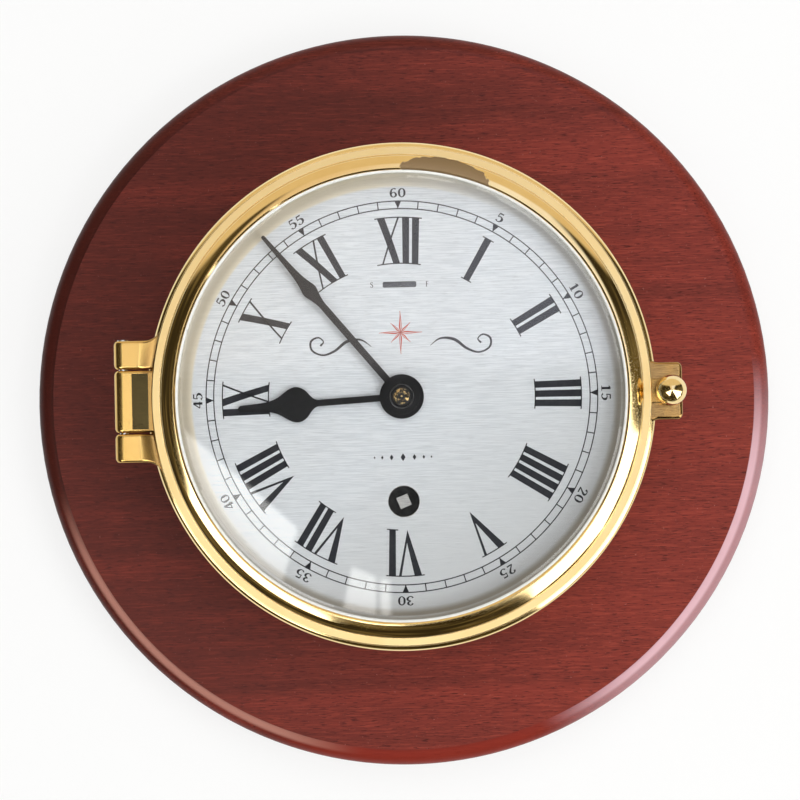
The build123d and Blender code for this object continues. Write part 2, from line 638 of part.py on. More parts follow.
def latch_lug():
    """Lug on the rim that the closing screw goes into."""
    low = CASE_FRONT - LATCH_LUG_DEPTH
    face = Pos((CASE_DRUM_RADIUS + LATCH_LUG_REACH) / 2, 0) * RectangleRounded(
        LATCH_LUG_REACH - CASE_DRUM_RADIUS, LATCH_LUG_WIDTH, LATCH_LUG_CORNER)
    lug = Pos(0, 0, low) * extrude(face, amount=LATCH_LUG_DEPTH)
    lug -= disc(CASE_DRUM_RADIUS, low - OVERRUN, CASE_FRONT + OVERRUN)
    at = (LATCH_REACH, 0)
    lug -= disc(CLOSING_SHANK_RADIUS + LOOSE, low - OVERRUN, CASE_FRONT, at)
    lug -= disc(CLIP_RADIUS + LOOSE, THREAD_Z, CASE_FRONT + OVERRUN, at)
    return lug


def case_screws():
    """Screws through the case floor into the board."""
    return group([screw(WOOD_SCREW, WOOD_SCREW_LENGTH, at, FLOOR_TOP)
                  for at in ring_places(CASE_SCREW_CIRCLE, CASE_SCREW_ANGLES)])


def hinge_pin():
    """Pin through the three knuckles with a small head at the top."""
    half = HINGE_LEAF_LENGTH / 2 + HINGE_GAP + HINGE_LUG_LENGTH
    shank = Cylinder(HINGE_PIN_RADIUS, 2 * half)
    head = Pos(0, 0, half) * Cylinder(HINGE_PIN_RADIUS + HINGE_PIN_HEAD, HINGE_PIN_HEAD, align=BASE)
    return Pos(-HINGE_REACH, 0, HINGE_Z) * Rot(-90, 0, 0) * (shank + head)


def bezel():
    """Ring with an ovolo face, a spigot, the hinge leaf and the latch tongue."""
    foot = (OVOLO_FOOT_RADIUS, BEZEL_FLAT_Z)
    crest = (OVOLO_CREST_RADIUS, BEZEL_CREST_Z)
    half_turn = atan2(foot[0] - crest[0], foot[1] - OVOLO_CENTRE_Z) / 2
    half = (crest[0] + OVOLO_RADIUS * sin(half_turn), OVOLO_CENTRE_Z + OVOLO_RADIUS * cos(half_turn))
    lip = BEZEL_CREST_Z - BEZEL_LIP
    spigot_end = BEZEL_Z - BEZEL_SPIGOT
    profile = ThreePointArc(foot, half, crest)
    profile += Polyline(crest, (BEZEL_OPENING_RADIUS, lip), (BEZEL_OPENING_RADIUS, GLASS_FRONT_Z),
                        (GLASS_SEAT_RADIUS, GLASS_FRONT_Z), (GLASS_SEAT_RADIUS, spigot_end),
                        (SPIGOT_RADIUS, spigot_end), (SPIGOT_RADIUS, BEZEL_Z), (BEZEL_RADIUS, BEZEL_Z),
                        (BEZEL_RADIUS, BEZEL_FLAT_Z - BEZEL_EDGE_CHAMFER),
                        (BEZEL_RADIUS - BEZEL_EDGE_CHAMFER, BEZEL_FLAT_Z), foot)
    ring = turned(profile)
    leaf = knuckle(HINGE_LEAF_LENGTH, 0, OVOLO_FOOT_RADIUS, CASE_FRONT + HINGE_LEAF_UNDERCUT)
    leaf -= disc(OVOLO_FOOT_RADIUS, FLOOR_TOP, BEZEL_CREST_Z)
    inset_half = HINGE_LEAF_LENGTH / 2 - HINGE_INSET_MARGIN
    leaf -= block((-HINGE_REACH, -inset_half, BEZEL_FLAT_Z - HINGE_INSET_DEPTH),
                  (-BEZEL_RADIUS - HINGE_INSET_MARGIN, inset_half, BEZEL_FLAT_Z + OVERRUN))
    tongue = bar((OVOLO_FOOT_RADIUS, 0), (LATCH_REACH, 0), 2 * TONGUE_RADIUS, BEZEL_Z, TONGUE_TOP)
    tongue -= disc(OVOLO_FOOT_RADIUS, FLOOR_TOP, BEZEL_CREST_Z)
    tongue -= disc(CLOSING_SHANK_RADIUS + RUNNING, FLOOR_TOP, BEZEL_CREST_Z, (LATCH_REACH, 0))
    return ring + leaf + tongue - hinge_bore(HINGE_PIN_RADIUS + RUNNING)


def glass():
    """Flat glass with a bevelled front edge."""
    bevel = BEZEL_OPENING_RADIUS - GLASS_BEVEL_WIDTH
    profile = Polyline((0, GLASS_BACK_Z), (GLASS_RADIUS, GLASS_BACK_Z), (GLASS_RADIUS, GLASS_FRONT_Z),
                       (BEZEL_OPENING_RADIUS, GLASS_FRONT_Z),
                       (BEZEL_OPENING_RADIUS, GLASS_FRONT_Z - GLASS_BEVEL_DEPTH),
                       (bevel, GLASS_FRONT_Z), (0, GLASS_FRONT_Z), close=True)
    return turned(profile)


def glass_ring():
    """Ring sprung into the bezel behind the glass."""
    return tube(GLASS_RADIUS, GLASS_RING_INNER, GLASS_BACK_Z - GLASS_RING_HEIGHT, GLASS_BACK_Z)


def closing_screw():
    """Ball-headed screw with a groove for its clip."""
    at = (LATCH_REACH, 0)
    shank = disc(CLOSING_SHANK_RADIUS, CLOSING_TIP_Z, TONGUE_TOP, at)
    shank -= tube(CLOSING_SHANK_RADIUS + OVERRUN, CLIP_GROOVE_RADIUS, CLIP_Z - RUNNING,
                  CLIP_Z + CLIP_THICKNESS + RUNNING, at)
    collar_top = TONGUE_TOP + RUNNING + CLOSING_COLLAR_HEIGHT
    collar = disc(CLOSING_COLLAR_RADIUS, TONGUE_TOP + RUNNING, collar_top, at)
    neck = disc(CLOSING_SHANK_RADIUS, CLIP_Z + CLIP_THICKNESS + OVERRUN, collar_top, at)
    ball_z = collar_top + CLOSING_BALL_RADIUS - CLOSING_BALL_SINK
    ball = Pos(LATCH_REACH, 0, ball_z) * Sphere(CLOSING_BALL_RADIUS)
    return shank + neck + collar + ball


def screw_clip():
    """Open clip in the groove of the closing screw."""
    at = (LATCH_REACH, 0)
    clip = tube(CLIP_RADIUS, CLIP_GROOVE_RADIUS + RUNNING, CLIP_Z, CLIP_Z + CLIP_THICKNESS, at)
    mouth = block((LATCH_REACH, -CLIP_MOUTH / 2, CLIP_Z - OVERRUN),
                  (LATCH_REACH + CLIP_RADIUS + OVERRUN, CLIP_MOUTH / 2, CASE_FRONT))
    return clip - mouth


def dial():
    """Dial disc with the hand hole, the winding hole and the regulator slot."""
    high = DIAL_FACE + OVERRUN
    low = DIAL_Z - OVERRUN
    plate = disc(DIAL_RADIUS, DIAL_Z, DIAL_FACE)
    plate -= disc(DIAL_CENTRE_HOLE, low, high)
    plate -= disc(WINDING_HOLE_RADIUS, low, high, BARREL)
    slot = RectangleRounded(REGULATOR_SLOT_LENGTH, REGULATOR_SLOT_WIDTH, REGULATOR_SLOT_CORNER)
    return plate - Pos(0, REGULATOR_RISE, low) * extrude(slot, amount=high - low)


def dial_feet():
    """Three feet from the dial through the front plate."""
    low = FRONT_PLATE_Z - 2 * DIAL_PIN_RADIUS - OVERRUN
    feet = []
    for at in ring_places(DIAL_FOOT_CIRCLE, DIAL_FOOT_ANGLES):
        foot = disc(DIAL_FOOT_RADIUS, low, DIAL_Z, at)
        feet.append(foot - dial_pin(at, DIAL_PIN_RADIUS + FIT))
    return group(feet)


def dial_pin(at, radius):
    """Pin across a dial foot behind the front plate."""
    height = FRONT_PLATE_Z - DIAL_PIN_RADIUS - RUNNING
    return Pos(at[0], at[1], height) * Rot(0, 90, 0) * Cylinder(radius, DIAL_PIN_LENGTH)


def dial_pins():
    """Pins that draw the dial feet down on the front plate."""
    return group([dial_pin(at, DIAL_PIN_RADIUS) for at in ring_places(DIAL_FOOT_CIRCLE, DIAL_FOOT_ANGLES)])


def movement_posts():
    """Posts riveted into the case floor that carry the back plate."""
    posts = []
    for at in ring_places(POST_CIRCLE, POST_ANGLES):
        post = disc(POST_RADIUS, FLOOR_TOP, BACK_PLATE_Z, at)
        post += disc(POST_SPIGOT_RADIUS, BOARD_THICKNESS + LOOSE, FLOOR_TOP + OVERRUN, at)
        posts.append(post - disc(MACHINE_SCREW[0] + FIT, FLOOR_TOP, BACK_PLATE_Z + OVERRUN, at))
    return group(posts)


def post_screws():
    """Screws through the back plate into the posts."""
    return group([screw(MACHINE_SCREW, MACHINE_SCREW_LENGTH, at, INSIDE_Z)
                  for at in ring_places(POST_CIRCLE, POST_ANGLES)])


def plate(low, holes):
    """Round movement plate with its screw and pivot holes."""
    high = low + PLATE_THICKNESS
    body = disc(PLATE_RADIUS, low, high)
    holes = holes + [(at, MACHINE_SCREW[0] + LOOSE) for at in ring_places(PILLAR_CIRCLE, PILLAR_ANGLES)]
    for at, radius in holes:
        body -= disc(radius, low - OVERRUN, high + OVERRUN, at)
    return body


def train_holes():
    """Pivot holes that both plates share."""
    pivot = PIVOT_RADIUS + RUNNING
    return [(BARREL, BARREL_ARBOR_RADIUS + RUNNING), (INTERMEDIATE, pivot), (THIRD, pivot), (FOURTH, pivot)]


def back_plate():
    """Plate at the back of the movement."""
    holes = train_holes() + [(CENTRE, PIVOT_RADIUS + RUNNING), (ESCAPE, PIVOT_RADIUS + RUNNING)]
    holes += [(at, MACHINE_SCREW[0] + LOOSE) for at in ring_places(POST_CIRCLE, POST_ANGLES)]
    return plate(BACK_PLATE_Z, holes)


def front_plate():
    """Plate at the front of the movement."""
    holes = train_holes() + [(CENTRE, CENTRE_ARBOR_RADIUS + RUNNING), (ESCAPE, ESCAPE_ARBOR_RADIUS + SHAKE)]
    holes += [(LEVER, LEVER_PIVOT_RADIUS + RUNNING), (BALANCE, STAFF_PIVOT_RADIUS + RUNNING)]
    holes += [(MINUTE_STUD, MINUTE_STUD_RADIUS + FIT)]
    holes += [(at, DIAL_FOOT_RADIUS + FIT) for at in ring_places(DIAL_FOOT_CIRCLE, DIAL_FOOT_ANGLES)]
    holes += [(at, SMALL_SCREW[0] + FIT) for at in BRIDGE_FEET + (CLICK_FOOT,)]
    holes += [(at, BANKING_RADIUS + FIT) for at in banking_places()]
    return plate(FRONT_PLATE_Z, holes)


def pillars():
    """Turned pillars that keep the plates apart."""
    made = []
    for at in ring_places(PILLAR_CIRCLE, PILLAR_ANGLES):
        pillar = disc(PILLAR_WAIST_RADIUS, INSIDE_Z, FRONT_PLATE_Z, at)
        pillar += disc(PILLAR_RADIUS, INSIDE_Z, INSIDE_Z + PILLAR_COLLAR, at)
        pillar += disc(PILLAR_RADIUS, FRONT_PLATE_Z - PILLAR_COLLAR, FRONT_PLATE_Z, at)
        made.append(pillar - disc(MACHINE_SCREW[0] + FIT, BACK_PLATE_Z, FRONT_Z, at))
    return group(made)


def plate_screws():
    """Screws into both ends of each pillar."""
    screws = []
    for at in ring_places(PILLAR_CIRCLE, PILLAR_ANGLES):
        screws.append(screw(MACHINE_SCREW, MACHINE_SCREW_LENGTH, at, FRONT_Z))
        upright = screw(MACHINE_SCREW, MACHINE_SCREW_LENGTH, CENTRE, 0)
        screws.append(Pos(at[0], at[1], BACK_PLATE_Z) * Rot(180, 0, 0) * upright)
    return group(screws)


def escapement_bridge():
    """Bridge over the escape wheel, the lever and the balance."""
    bridge = bar(ESCAPE_FOOT, BALANCE_FOOT, BRIDGE_WIDTH, BRIDGE_Z, BRIDGE_TOP)
    for at in BRIDGE_FEET:
        bridge += disc(BRIDGE_FOOT_RADIUS, FRONT_Z, BRIDGE_TOP, at)
        bridge -= disc(SMALL_SCREW[0] + FIT, FRONT_Z - OVERRUN, BRIDGE_TOP + OVERRUN, at)
    bridge += disc(INDEX_BOSS_RADIUS, BRIDGE_TOP, INDEX_Z + INDEX_THICKNESS, BALANCE)
    for at, radius in ((ESCAPE, PIVOT_RADIUS), (LEVER, LEVER_PIVOT_RADIUS), (BALANCE, STAFF_PIVOT_RADIUS)):
        bridge -= disc(radius + RUNNING, BRIDGE_Z - OVERRUN, DIAL_Z, at)
    stud = polar(hairspring_end(), LEVER_BEARING, BALANCE)
    return bridge - disc(HAIRSPRING_STUD / 2 + FIT, BRIDGE_Z - OVERRUN, DIAL_Z, stud)


def bridge_screws():
    """Screws through the bridge feet into the front plate."""
    length = BRIDGE_TOP - FRONT_PLATE_Z
    return group([screw(SMALL_SCREW, length, at, BRIDGE_TOP) for at in BRIDGE_FEET])


def hand(stem, length, half_width, shares, boss, bore, low):
    """Flat hand pointing to the twelve, outlined from its half widths."""
    body = [(length * along, half_width * across) for along, across in shares]
    tip_distance, tip_half = body[-1]
    right = [(half, distance) for distance, half in body]
    left = [(-half, distance) for distance, half in reversed(body)]
    outline = Spline(*right) + Spline(*left)
    outline += ThreePointArc(right[-1], (0, tip_distance + tip_half), left[0])
    outline += Polyline(left[-1], (-stem, 0), (stem, 0), right[0])
    blade = Pos(0, 0, low) * extrude(make_face(outline), amount=HAND_THICKNESS)
    blade += disc(boss, low, low + HAND_THICKNESS)
    return blade - disc(bore + FIT, low - OVERRUN, low + HAND_THICKNESS + OVERRUN)


def hour_hand():
    """Pear-shaped hour hand with a round boss."""
    made = hand(HOUR_STEM, HOUR_HAND_LENGTH, HOUR_HAND_HALF_WIDTH, HOUR_HAND_SHARES,
                HOUR_BOSS_RADIUS, HOUR_PIPE_RADIUS, HOUR_HAND_Z)
    return Rot(0, 0, HOUR_HAND_TURN) * made


def minute_hand():
    """Lozenge-pointed minute hand with a raised collet."""
    made = hand(MINUTE_STEM, MINUTE_HAND_LENGTH, MINUTE_HAND_HALF_WIDTH, MINUTE_HAND_SHARES,
                MINUTE_BOSS_RADIUS, CANNON_PIPE_RADIUS, MINUTE_HAND_Z)
    made += tube(MINUTE_COLLET_RADIUS, CANNON_PIPE_RADIUS + FIT, MINUTE_HAND_TOP, COLLET_TOP)
    return Rot(0, 0, MINUTE_HAND_TURN) * made


def hand_nut():
    """Nut on the end of the cannon pipe over the minute hand."""
    return tube(HAND_NUT_RADIUS, CANNON_PIPE_RADIUS + FIT, COLLET_TOP, COLLET_TOP + HAND_NUT_HEIGHT)


def cannon_pinion():
    """Pinion with the long pipe that carries the minute hand."""
    low = FRONT_Z + CANNON_LEVEL
    pinion = prism(leaf_points(CANNON_LEAVES, MOTION_MODULE, 0, CENTRE), low, low + PINION_LENGTH)
    pinion += disc(CANNON_PIPE_RADIUS, low, COLLET_TOP + HAND_NUT_HEIGHT)
    return pinion - disc(CENTRE_ARBOR_RADIUS + RUNNING, FRONT_Z, GLASS_BACK_Z)


def minute_wheel():
    """Motion-work wheel and its pinion, turning on a stud."""
    low = FRONT_Z + CANNON_LEVEL + WHEEL_THICKNESS / 2
    top = FRONT_Z + HOUR_LEVEL + WHEEL_THICKNESS
    wheel = crossed_wheel(MINUTE_TEETH, MOTION_MODULE, MINUTE_PHASE, MINUTE_STUD,
                          MINUTE_STUD_RADIUS + SHAKE, low, low + WHEEL_THICKNESS)
    wheel += prism(leaf_points(MINUTE_LEAVES, HOUR_MODULE, MINUTE_PHASE, MINUTE_STUD), low, top)
    return wheel - disc(MINUTE_STUD_RADIUS + RUNNING, FRONT_Z, DIAL_Z, MINUTE_STUD)


def minute_stud():
    """Stud in the front plate that the minute wheel turns on."""
    top = FRONT_Z + HOUR_LEVEL + WHEEL_THICKNESS + RUNNING
    stud = disc(MINUTE_STUD_RADIUS, FRONT_PLATE_Z, top, MINUTE_STUD)
    return stud + disc(MINUTE_STUD_RADIUS + MINUTE_STUD_CAP, top, top + MINUTE_STUD_CAP, MINUTE_STUD)


def hour_wheel():
    """Wheel with the pipe that carries the hour hand."""
    low = FRONT_Z + HOUR_LEVEL
    wheel = prism(wheel_points(HOUR_TEETH, HOUR_MODULE, HOUR_PHASE, CENTRE), low, low + WHEEL_THICKNESS)
    wheel += disc(HOUR_PIPE_RADIUS, low, HOUR_HAND_Z + HAND_THICKNESS)
    return wheel - disc(CANNON_PIPE_RADIUS + RUNNING, FRONT_Z, MINUTE_HAND_Z)


def barrel():
    """Going barrel: great wheel with a drum for the mainspring."""
    low = INSIDE_Z + GREAT_LEVEL
    body = prism(wheel_points(GREAT_TEETH, GREAT_MODULE, GREAT_PHASE, BARREL), low, low + GREAT_THICKNESS)
    body += disc(DRUM_RADIUS, low, low + DRUM_HEIGHT, BARREL)
    body -= disc(DRUM_RADIUS - DRUM_WALL, low + GREAT_THICKNESS, low + DRUM_HEIGHT + OVERRUN, BARREL)
    return body - disc(BARREL_ARBOR_RADIUS + RUNNING, low - OVERRUN, low + DRUM_HEIGHT, BARREL)


def barrel_lid():
    """Lid snapped on the mouth of the drum."""
    low = INSIDE_Z + GREAT_LEVEL + DRUM_HEIGHT
    return tube(DRUM_RADIUS, BARREL_ARBOR_RADIUS + RUNNING, low, low + LID_THICKNESS, BARREL)


def mainspring():
    """Coiled strip between the arbor core and the drum wall."""
    low = INSIDE_Z + GREAT_LEVEL + GREAT_THICKNESS + SHAKE
    high = INSIDE_Z + GREAT_LEVEL + DRUM_HEIGHT - SHAKE
    inner = BARREL_CORE_RADIUS + MAINSPRING_STRIP / 2
    outer = DRUM_RADIUS - DRUM_WALL - MAINSPRING_STRIP / 2 - LOOSE
    pitch = 2 * (outer - inner) / MAINSPRING_HALF_TURNS
    return spiral(inner, pitch, MAINSPRING_HALF_TURNS, MAINSPRING_STRIP, low, high, BARREL, 0)


def winding_arbor():
    """Barrel arbor with a core for the spring and a square for the key."""
    low = INSIDE_Z + GREAT_LEVEL + GREAT_THICKNESS + RUNNING
    high = INSIDE_Z + GREAT_LEVEL + DRUM_HEIGHT - RUNNING
    arbor = disc(BARREL_ARBOR_RADIUS, BACK_PLATE_Z, FRONT_Z + RATCHET_LEVEL, BARREL)
    arbor += disc(BARREL_CORE_RADIUS - LOOSE, low, high, BARREL)
    half = WINDING_SQUARE / 2
    square = block((-half, -half, FRONT_Z), (half, half, DIAL_FACE - WINDING_TIP_SINK))
    return arbor + Pos(*BARREL) * Rot(0, 0, WINDING_SQUARE_TURN) * square


def ratchet_wheel():
    """Ratchet on the winding square, its steep faces stopping unwinding."""
    low = FRONT_Z + RATCHET_LEVEL
    root = RATCHET_RADIUS - RATCHET_TOOTH
    points = []
    for index in range(RATCHET_TEETH):
        angle = 90 + 360 / RATCHET_TEETH * index
        points += [polar(RATCHET_RADIUS, angle, BARREL), polar(root, angle, BARREL)]
    wheel = prism(points, low, low + RATCHET_THICKNESS)
    half = WINDING_SQUARE / 2 + FIT
    hole = block((-half, -half, low - OVERRUN), (half, half, DIAL_Z))
    return wheel - Pos(*BARREL) * Rot(0, 0, WINDING_SQUARE_TURN) * hole


def click():
    """Leaf spring screwed to the plate, its nose in the ratchet teeth."""
    low = FRONT_Z
    high = low + RATCHET_LEVEL + RATCHET_THICKNESS
    arm_y = CLICK_FOOT[1] - CLICK_FOOT_RADIUS + CLICK_ARM_WIDTH
    nose = RATCHET_RADIUS + BARREL[1] - CLICK_NOSE
    points = ((CLICK_FOOT[0], arm_y), (CLICK_FOOT[0], arm_y + CLICK_ARM_WIDTH),
              (-LOOSE - CLICK_ARM_WIDTH, arm_y + CLICK_ARM_WIDTH), (-LOOSE, nose), (-LOOSE, arm_y))
    body = prism(points, low + RATCHET_LEVEL, high) + disc(CLICK_FOOT_RADIUS, low, high, CLICK_FOOT)
    return body - disc(SMALL_SCREW[0] + FIT, low - OVERRUN, high + OVERRUN, CLICK_FOOT)


def click_screw():
    """Screw that holds the click."""
    seat = FRONT_Z + RATCHET_LEVEL + RATCHET_THICKNESS
    return screw(SMALL_SCREW, SMALL_SCREW_LENGTH, CLICK_FOOT, seat)


def intermediate_wheel():
    """Intermediate wheel."""
    return wheel_between(INTERMEDIATE_TEETH, INTERMEDIATE_MODULE, INTERMEDIATE_PHASE, INTERMEDIATE,
                         INTERMEDIATE_LEVEL, ARBOR_RADIUS)


def intermediate_pinion():
    """Intermediate pinion and arbor."""
    return pinion_arbor(INTERMEDIATE_LEAVES, GREAT_MODULE, INTERMEDIATE_PHASE, INTERMEDIATE,
                        GREAT_LEVEL + GREAT_THICKNESS / 2, GREAT_PINION_LENGTH, ARBOR_RADIUS)


def centre_wheel():
    """Centre wheel."""
    return wheel_between(CENTRE_TEETH, CENTRE_MODULE, CENTRE_PHASE, CENTRE,
                         CENTRE_LEVEL, CENTRE_ARBOR_RADIUS)


def centre_pinion():
    """Centre pinion on the long arbor that reaches the hands."""
    made = pinion_arbor(CENTRE_LEAVES, INTERMEDIATE_MODULE, CENTRE_PHASE, CENTRE, INTERMEDIATE_LEVEL,
                        PINION_LENGTH, CENTRE_ARBOR_RADIUS)
    tip = COLLET_TOP + HAND_NUT_HEIGHT + ARBOR_TIP
    return made + disc(CENTRE_ARBOR_RADIUS, INSIDE_Z + SHOULDER_GAP, tip)


def third_wheel():
    """Third wheel."""
    return wheel_between(THIRD_TEETH, THIRD_MODULE, THIRD_PHASE, THIRD, THIRD_LEVEL, ARBOR_RADIUS)


def third_pinion():
    """Third pinion and arbor."""
    return pinion_arbor(THIRD_LEAVES, CENTRE_MODULE, THIRD_PHASE, THIRD, CENTRE_LEVEL,
                        PINION_LENGTH, ARBOR_RADIUS)


def fourth_wheel():
    """Fourth wheel."""
    return wheel_between(FOURTH_TEETH, FOURTH_MODULE, FOURTH_PHASE, FOURTH, FOURTH_LEVEL, ARBOR_RADIUS)


def fourth_pinion():
    """Fourth pinion and arbor."""
    return pinion_arbor(FOURTH_LEAVES, THIRD_MODULE, FOURTH_PHASE, FOURTH, THIRD_LEVEL,
                        PINION_LENGTH, ARBOR_RADIUS)


def escape_pinion():
    """Escape pinion on an arbor that passes through the front plate."""
    middle = INSIDE_Z + FOURTH_LEVEL
    made = prism(leaf_points(ESCAPE_LEAVES, FOURTH_MODULE, ESCAPE_PHASE, ESCAPE),
                 middle - PINION_LENGTH / 2, middle + PINION_LENGTH / 2)
    made += disc(ESCAPE_ARBOR_RADIUS, INSIDE_Z, BRIDGE_Z - SHOULDER_GAP, ESCAPE)
    return made + disc(PIVOT_RADIUS, BACK_PLATE_Z, BRIDGE_TOP, ESCAPE)


def escape_wheel():
    """Escape wheel with pointed leaning teeth."""
    low = FRONT_Z + ESCAPE_LEVEL
    pitch = 360 / ESCAPE_TEETH
    points = []
    for index in range(ESCAPE_TEETH):
        angle = pitch * index
        points += [polar(ESCAPE_ROOT_RADIUS, angle, ESCAPE),
                   polar(ESCAPE_RADIUS, angle + pitch * ESCAPE_LEAN_SHARE, ESCAPE)]
    wheel = prism(points, low, low + ESCAPE_THICKNESS)
    return wheel - disc(ESCAPE_ARBOR_RADIUS + FIT, low - OVERRUN, low + ESCAPE_THICKNESS + OVERRUN, ESCAPE)


def on_lever(along, across):
    """Point in the lever's own frame, along the line to the balance."""
    out = polar(along, LEVER_BEARING, LEVER)
    return polar(across, LEVER_BEARING + 90, out)


def banking_places():
    """Places of the two pins that stop the lever."""
    swing = BANKING_REACH * sin(radians(BANKING_SWING))
    across = LEVER_ARM_WIDTH / 2 + swing + BANKING_RADIUS + RUNNING
    return [on_lever(BANKING_REACH, side * across) for side in (-1, 1)]


def banking_pins():
    """Pins that stop the lever."""
    high = FRONT_Z + ESCAPE_LEVEL + ESCAPE_THICKNESS
    return group([disc(BANKING_RADIUS, FRONT_PLATE_Z, high, at) for at in banking_places()])


def pallet_lever():
    """Lever with two pallet arms and a fork, on its staff."""
    low = FRONT_Z + ESCAPE_LEVEL
    high = low + ESCAPE_THICKNESS
    lever = disc(LEVER_HUB_RADIUS, low, high, LEVER)
    lever += bar(LEVER, on_lever(FORK_REACH - FORK_LENGTH, 0), LEVER_ARM_WIDTH, low, high)
    half = FORK_WIDTH / 2
    notch = FORK_NOTCH / 2
    root = FORK_REACH - FORK_LENGTH
    floor = FORK_REACH - FORK_LENGTH / 2
    fork = ((root, -half), (FORK_REACH, -half), (FORK_REACH, -notch), (floor, -notch),
            (floor, notch), (FORK_REACH, notch), (FORK_REACH, half), (root, half))
    lever += prism([on_lever(along, across) for along, across in fork], low, high)
    for side in (-1, 1):
        angle = LEVER_BEARING + side * PALLET_ANGLE
        inner = polar(ESCAPE_RADIUS + PALLET_CLEARANCE + PALLET_WIDTH / 2, angle, ESCAPE)
        outer = polar(ESCAPE_RADIUS + PALLET_CLEARANCE + PALLET_LENGTH, angle, ESCAPE)
        lever += bar(inner, outer, PALLET_WIDTH, low, high) + bar(outer, LEVER, PALLET_WIDTH, low, high)
    lever += disc(LEVER_STAFF_RADIUS, FRONT_Z + SHOULDER_GAP, BRIDGE_Z - SHOULDER_GAP, LEVER)
    return lever + disc(LEVER_PIVOT_RADIUS, FRONT_PLATE_Z, BRIDGE_TOP, LEVER)


def balance_wheel():
    """Balance rim with two arms and a hub."""
    low = FRONT_Z + BALANCE_LEVEL
    high = low + BALANCE_THICKNESS
    wheel = tube(BALANCE_RADIUS, BALANCE_RADIUS - BALANCE_RIM, low, high, BALANCE)
    reach = BALANCE_RADIUS - BALANCE_RIM / 2
    wheel += block((-reach, BALANCE[1] - BALANCE_ARM / 2, low), (reach, BALANCE[1] + BALANCE_ARM / 2, high))
    wheel += disc(BALANCE_HUB_RADIUS, low, high, BALANCE)
    return wheel - disc(STAFF_RADIUS + FIT, low - OVERRUN, high + OVERRUN, BALANCE)


def balance_staff():
    """Staff with the roller, its impulse pin and the spring collet."""
    low = FRONT_Z + ROLLER_LEVEL
    staff = disc(STAFF_RADIUS, FRONT_Z + SHOULDER_GAP, BRIDGE_Z - SHOULDER_GAP, BALANCE)
    staff += disc(STAFF_PIVOT_RADIUS, FRONT_PLATE_Z, BRIDGE_TOP, BALANCE)
    staff += disc(ROLLER_RADIUS, low, low + ROLLER_THICKNESS, BALANCE)
    pin = polar(IMPULSE_REACH, LEVER_BEARING + 180, BALANCE)
    staff += disc(IMPULSE_RADIUS, low - IMPULSE_LENGTH, low + ROLLER_THICKNESS, pin)
    collet_low = FRONT_Z + BALANCE_LEVEL + BALANCE_THICKNESS
    collet_high = FRONT_Z + HAIRSPRING_LEVEL + HAIRSPRING_HEIGHT
    return staff + disc(HAIRSPRING_INNER - HAIRSPRING_STRIP / 2, collet_low, collet_high, BALANCE)


def hairspring_end():
    """Radius of the outer end of the hairspring."""
    return HAIRSPRING_INNER + HAIRSPRING_PITCH * HAIRSPRING_HALF_TURNS / 2 + HAIRSPRING_STUD / 2


def hairspring():
    """Balance spring."""
    low = FRONT_Z + HAIRSPRING_LEVEL
    return spiral(HAIRSPRING_INNER, HAIRSPRING_PITCH, HAIRSPRING_HALF_TURNS, HAIRSPRING_STRIP,
                  low, low + HAIRSPRING_HEIGHT, BALANCE, LEVER_BEARING)


def hairspring_stud():
    """Stud in the bridge that the outer end of the hairspring meets."""
    at = polar(hairspring_end(), LEVER_BEARING, BALANCE)
    return disc(HAIRSPRING_STUD / 2, FRONT_Z + HAIRSPRING_LEVEL, BRIDGE_TOP, at)


def regulator_index():
    """Index turning on the bridge, with a pin that shows in the dial slot."""
    high = INDEX_Z + INDEX_THICKNESS
    ring = INDEX_BOSS_RADIUS + INDEX_RING_WIDTH
    index = disc(ring, INDEX_Z, high, BALANCE)
    index += bar(BALANCE, (0, REGULATOR_RISE), INDEX_TAIL_WIDTH, INDEX_Z, high)
    index -= disc(INDEX_BOSS_RADIUS + RUNNING, INDEX_Z - OVERRUN, high + OVERRUN, BALANCE)
    return index + disc(INDEX_PIN_RADIUS, INDEX_Z, DIAL_FACE, (0, REGULATOR_RISE))


NODES = (
    backboard, hanger_plate, hanger_screws, case_shell, case_screws, hinge_pin,
    bezel, glass, glass_ring, closing_screw, screw_clip,
    dial, dial_feet, dial_pins, hour_hand, minute_hand, hand_nut,
    movement_posts, post_screws, back_plate, front_plate, pillars, plate_screws,
    cannon_pinion, minute_wheel, minute_stud, hour_wheel,
    barrel, barrel_lid, mainspring, winding_arbor, ratchet_wheel, click, click_screw,
    intermediate_wheel, intermediate_pinion, centre_wheel, centre_pinion,
    third_wheel, third_pinion, fourth_wheel, fourth_pinion, escape_wheel, escape_pinion,
    pallet_lever, banking_pins, balance_wheel, balance_staff, hairspring, hairspring_stud,
    escapement_bridge, bridge_screws, regulator_index,
)



def upright(shape):
    """Node turned from lying on its back to hanging on the wall."""
    solids = [Rot(90, 0, 0) * solid for solid in shape.solids()]
    return solids[0] if len(solids) == 1 else Compound(solids)


os.makedirs("parts", exist_ok=True)
for make in NODES:
    export_step(upright(make()), f"parts/{make.__name__}.step")
    print(make.__name__)
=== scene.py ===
# %% [markdown]
# # A ship's bulkhead clock on a round mahogany board
#
# A bulkhead clock is a spring-driven brass drum screwed to a turned board. Its front is a
# hinged brass bezel with a bevelled glass, held shut by a ball-headed closing screw. This
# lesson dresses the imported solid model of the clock: it keeps the solids that already have
# the right shape, remakes the polished brass so that it reflects smoothly, and prints the dial.

# %% Load the frame
import json
import math

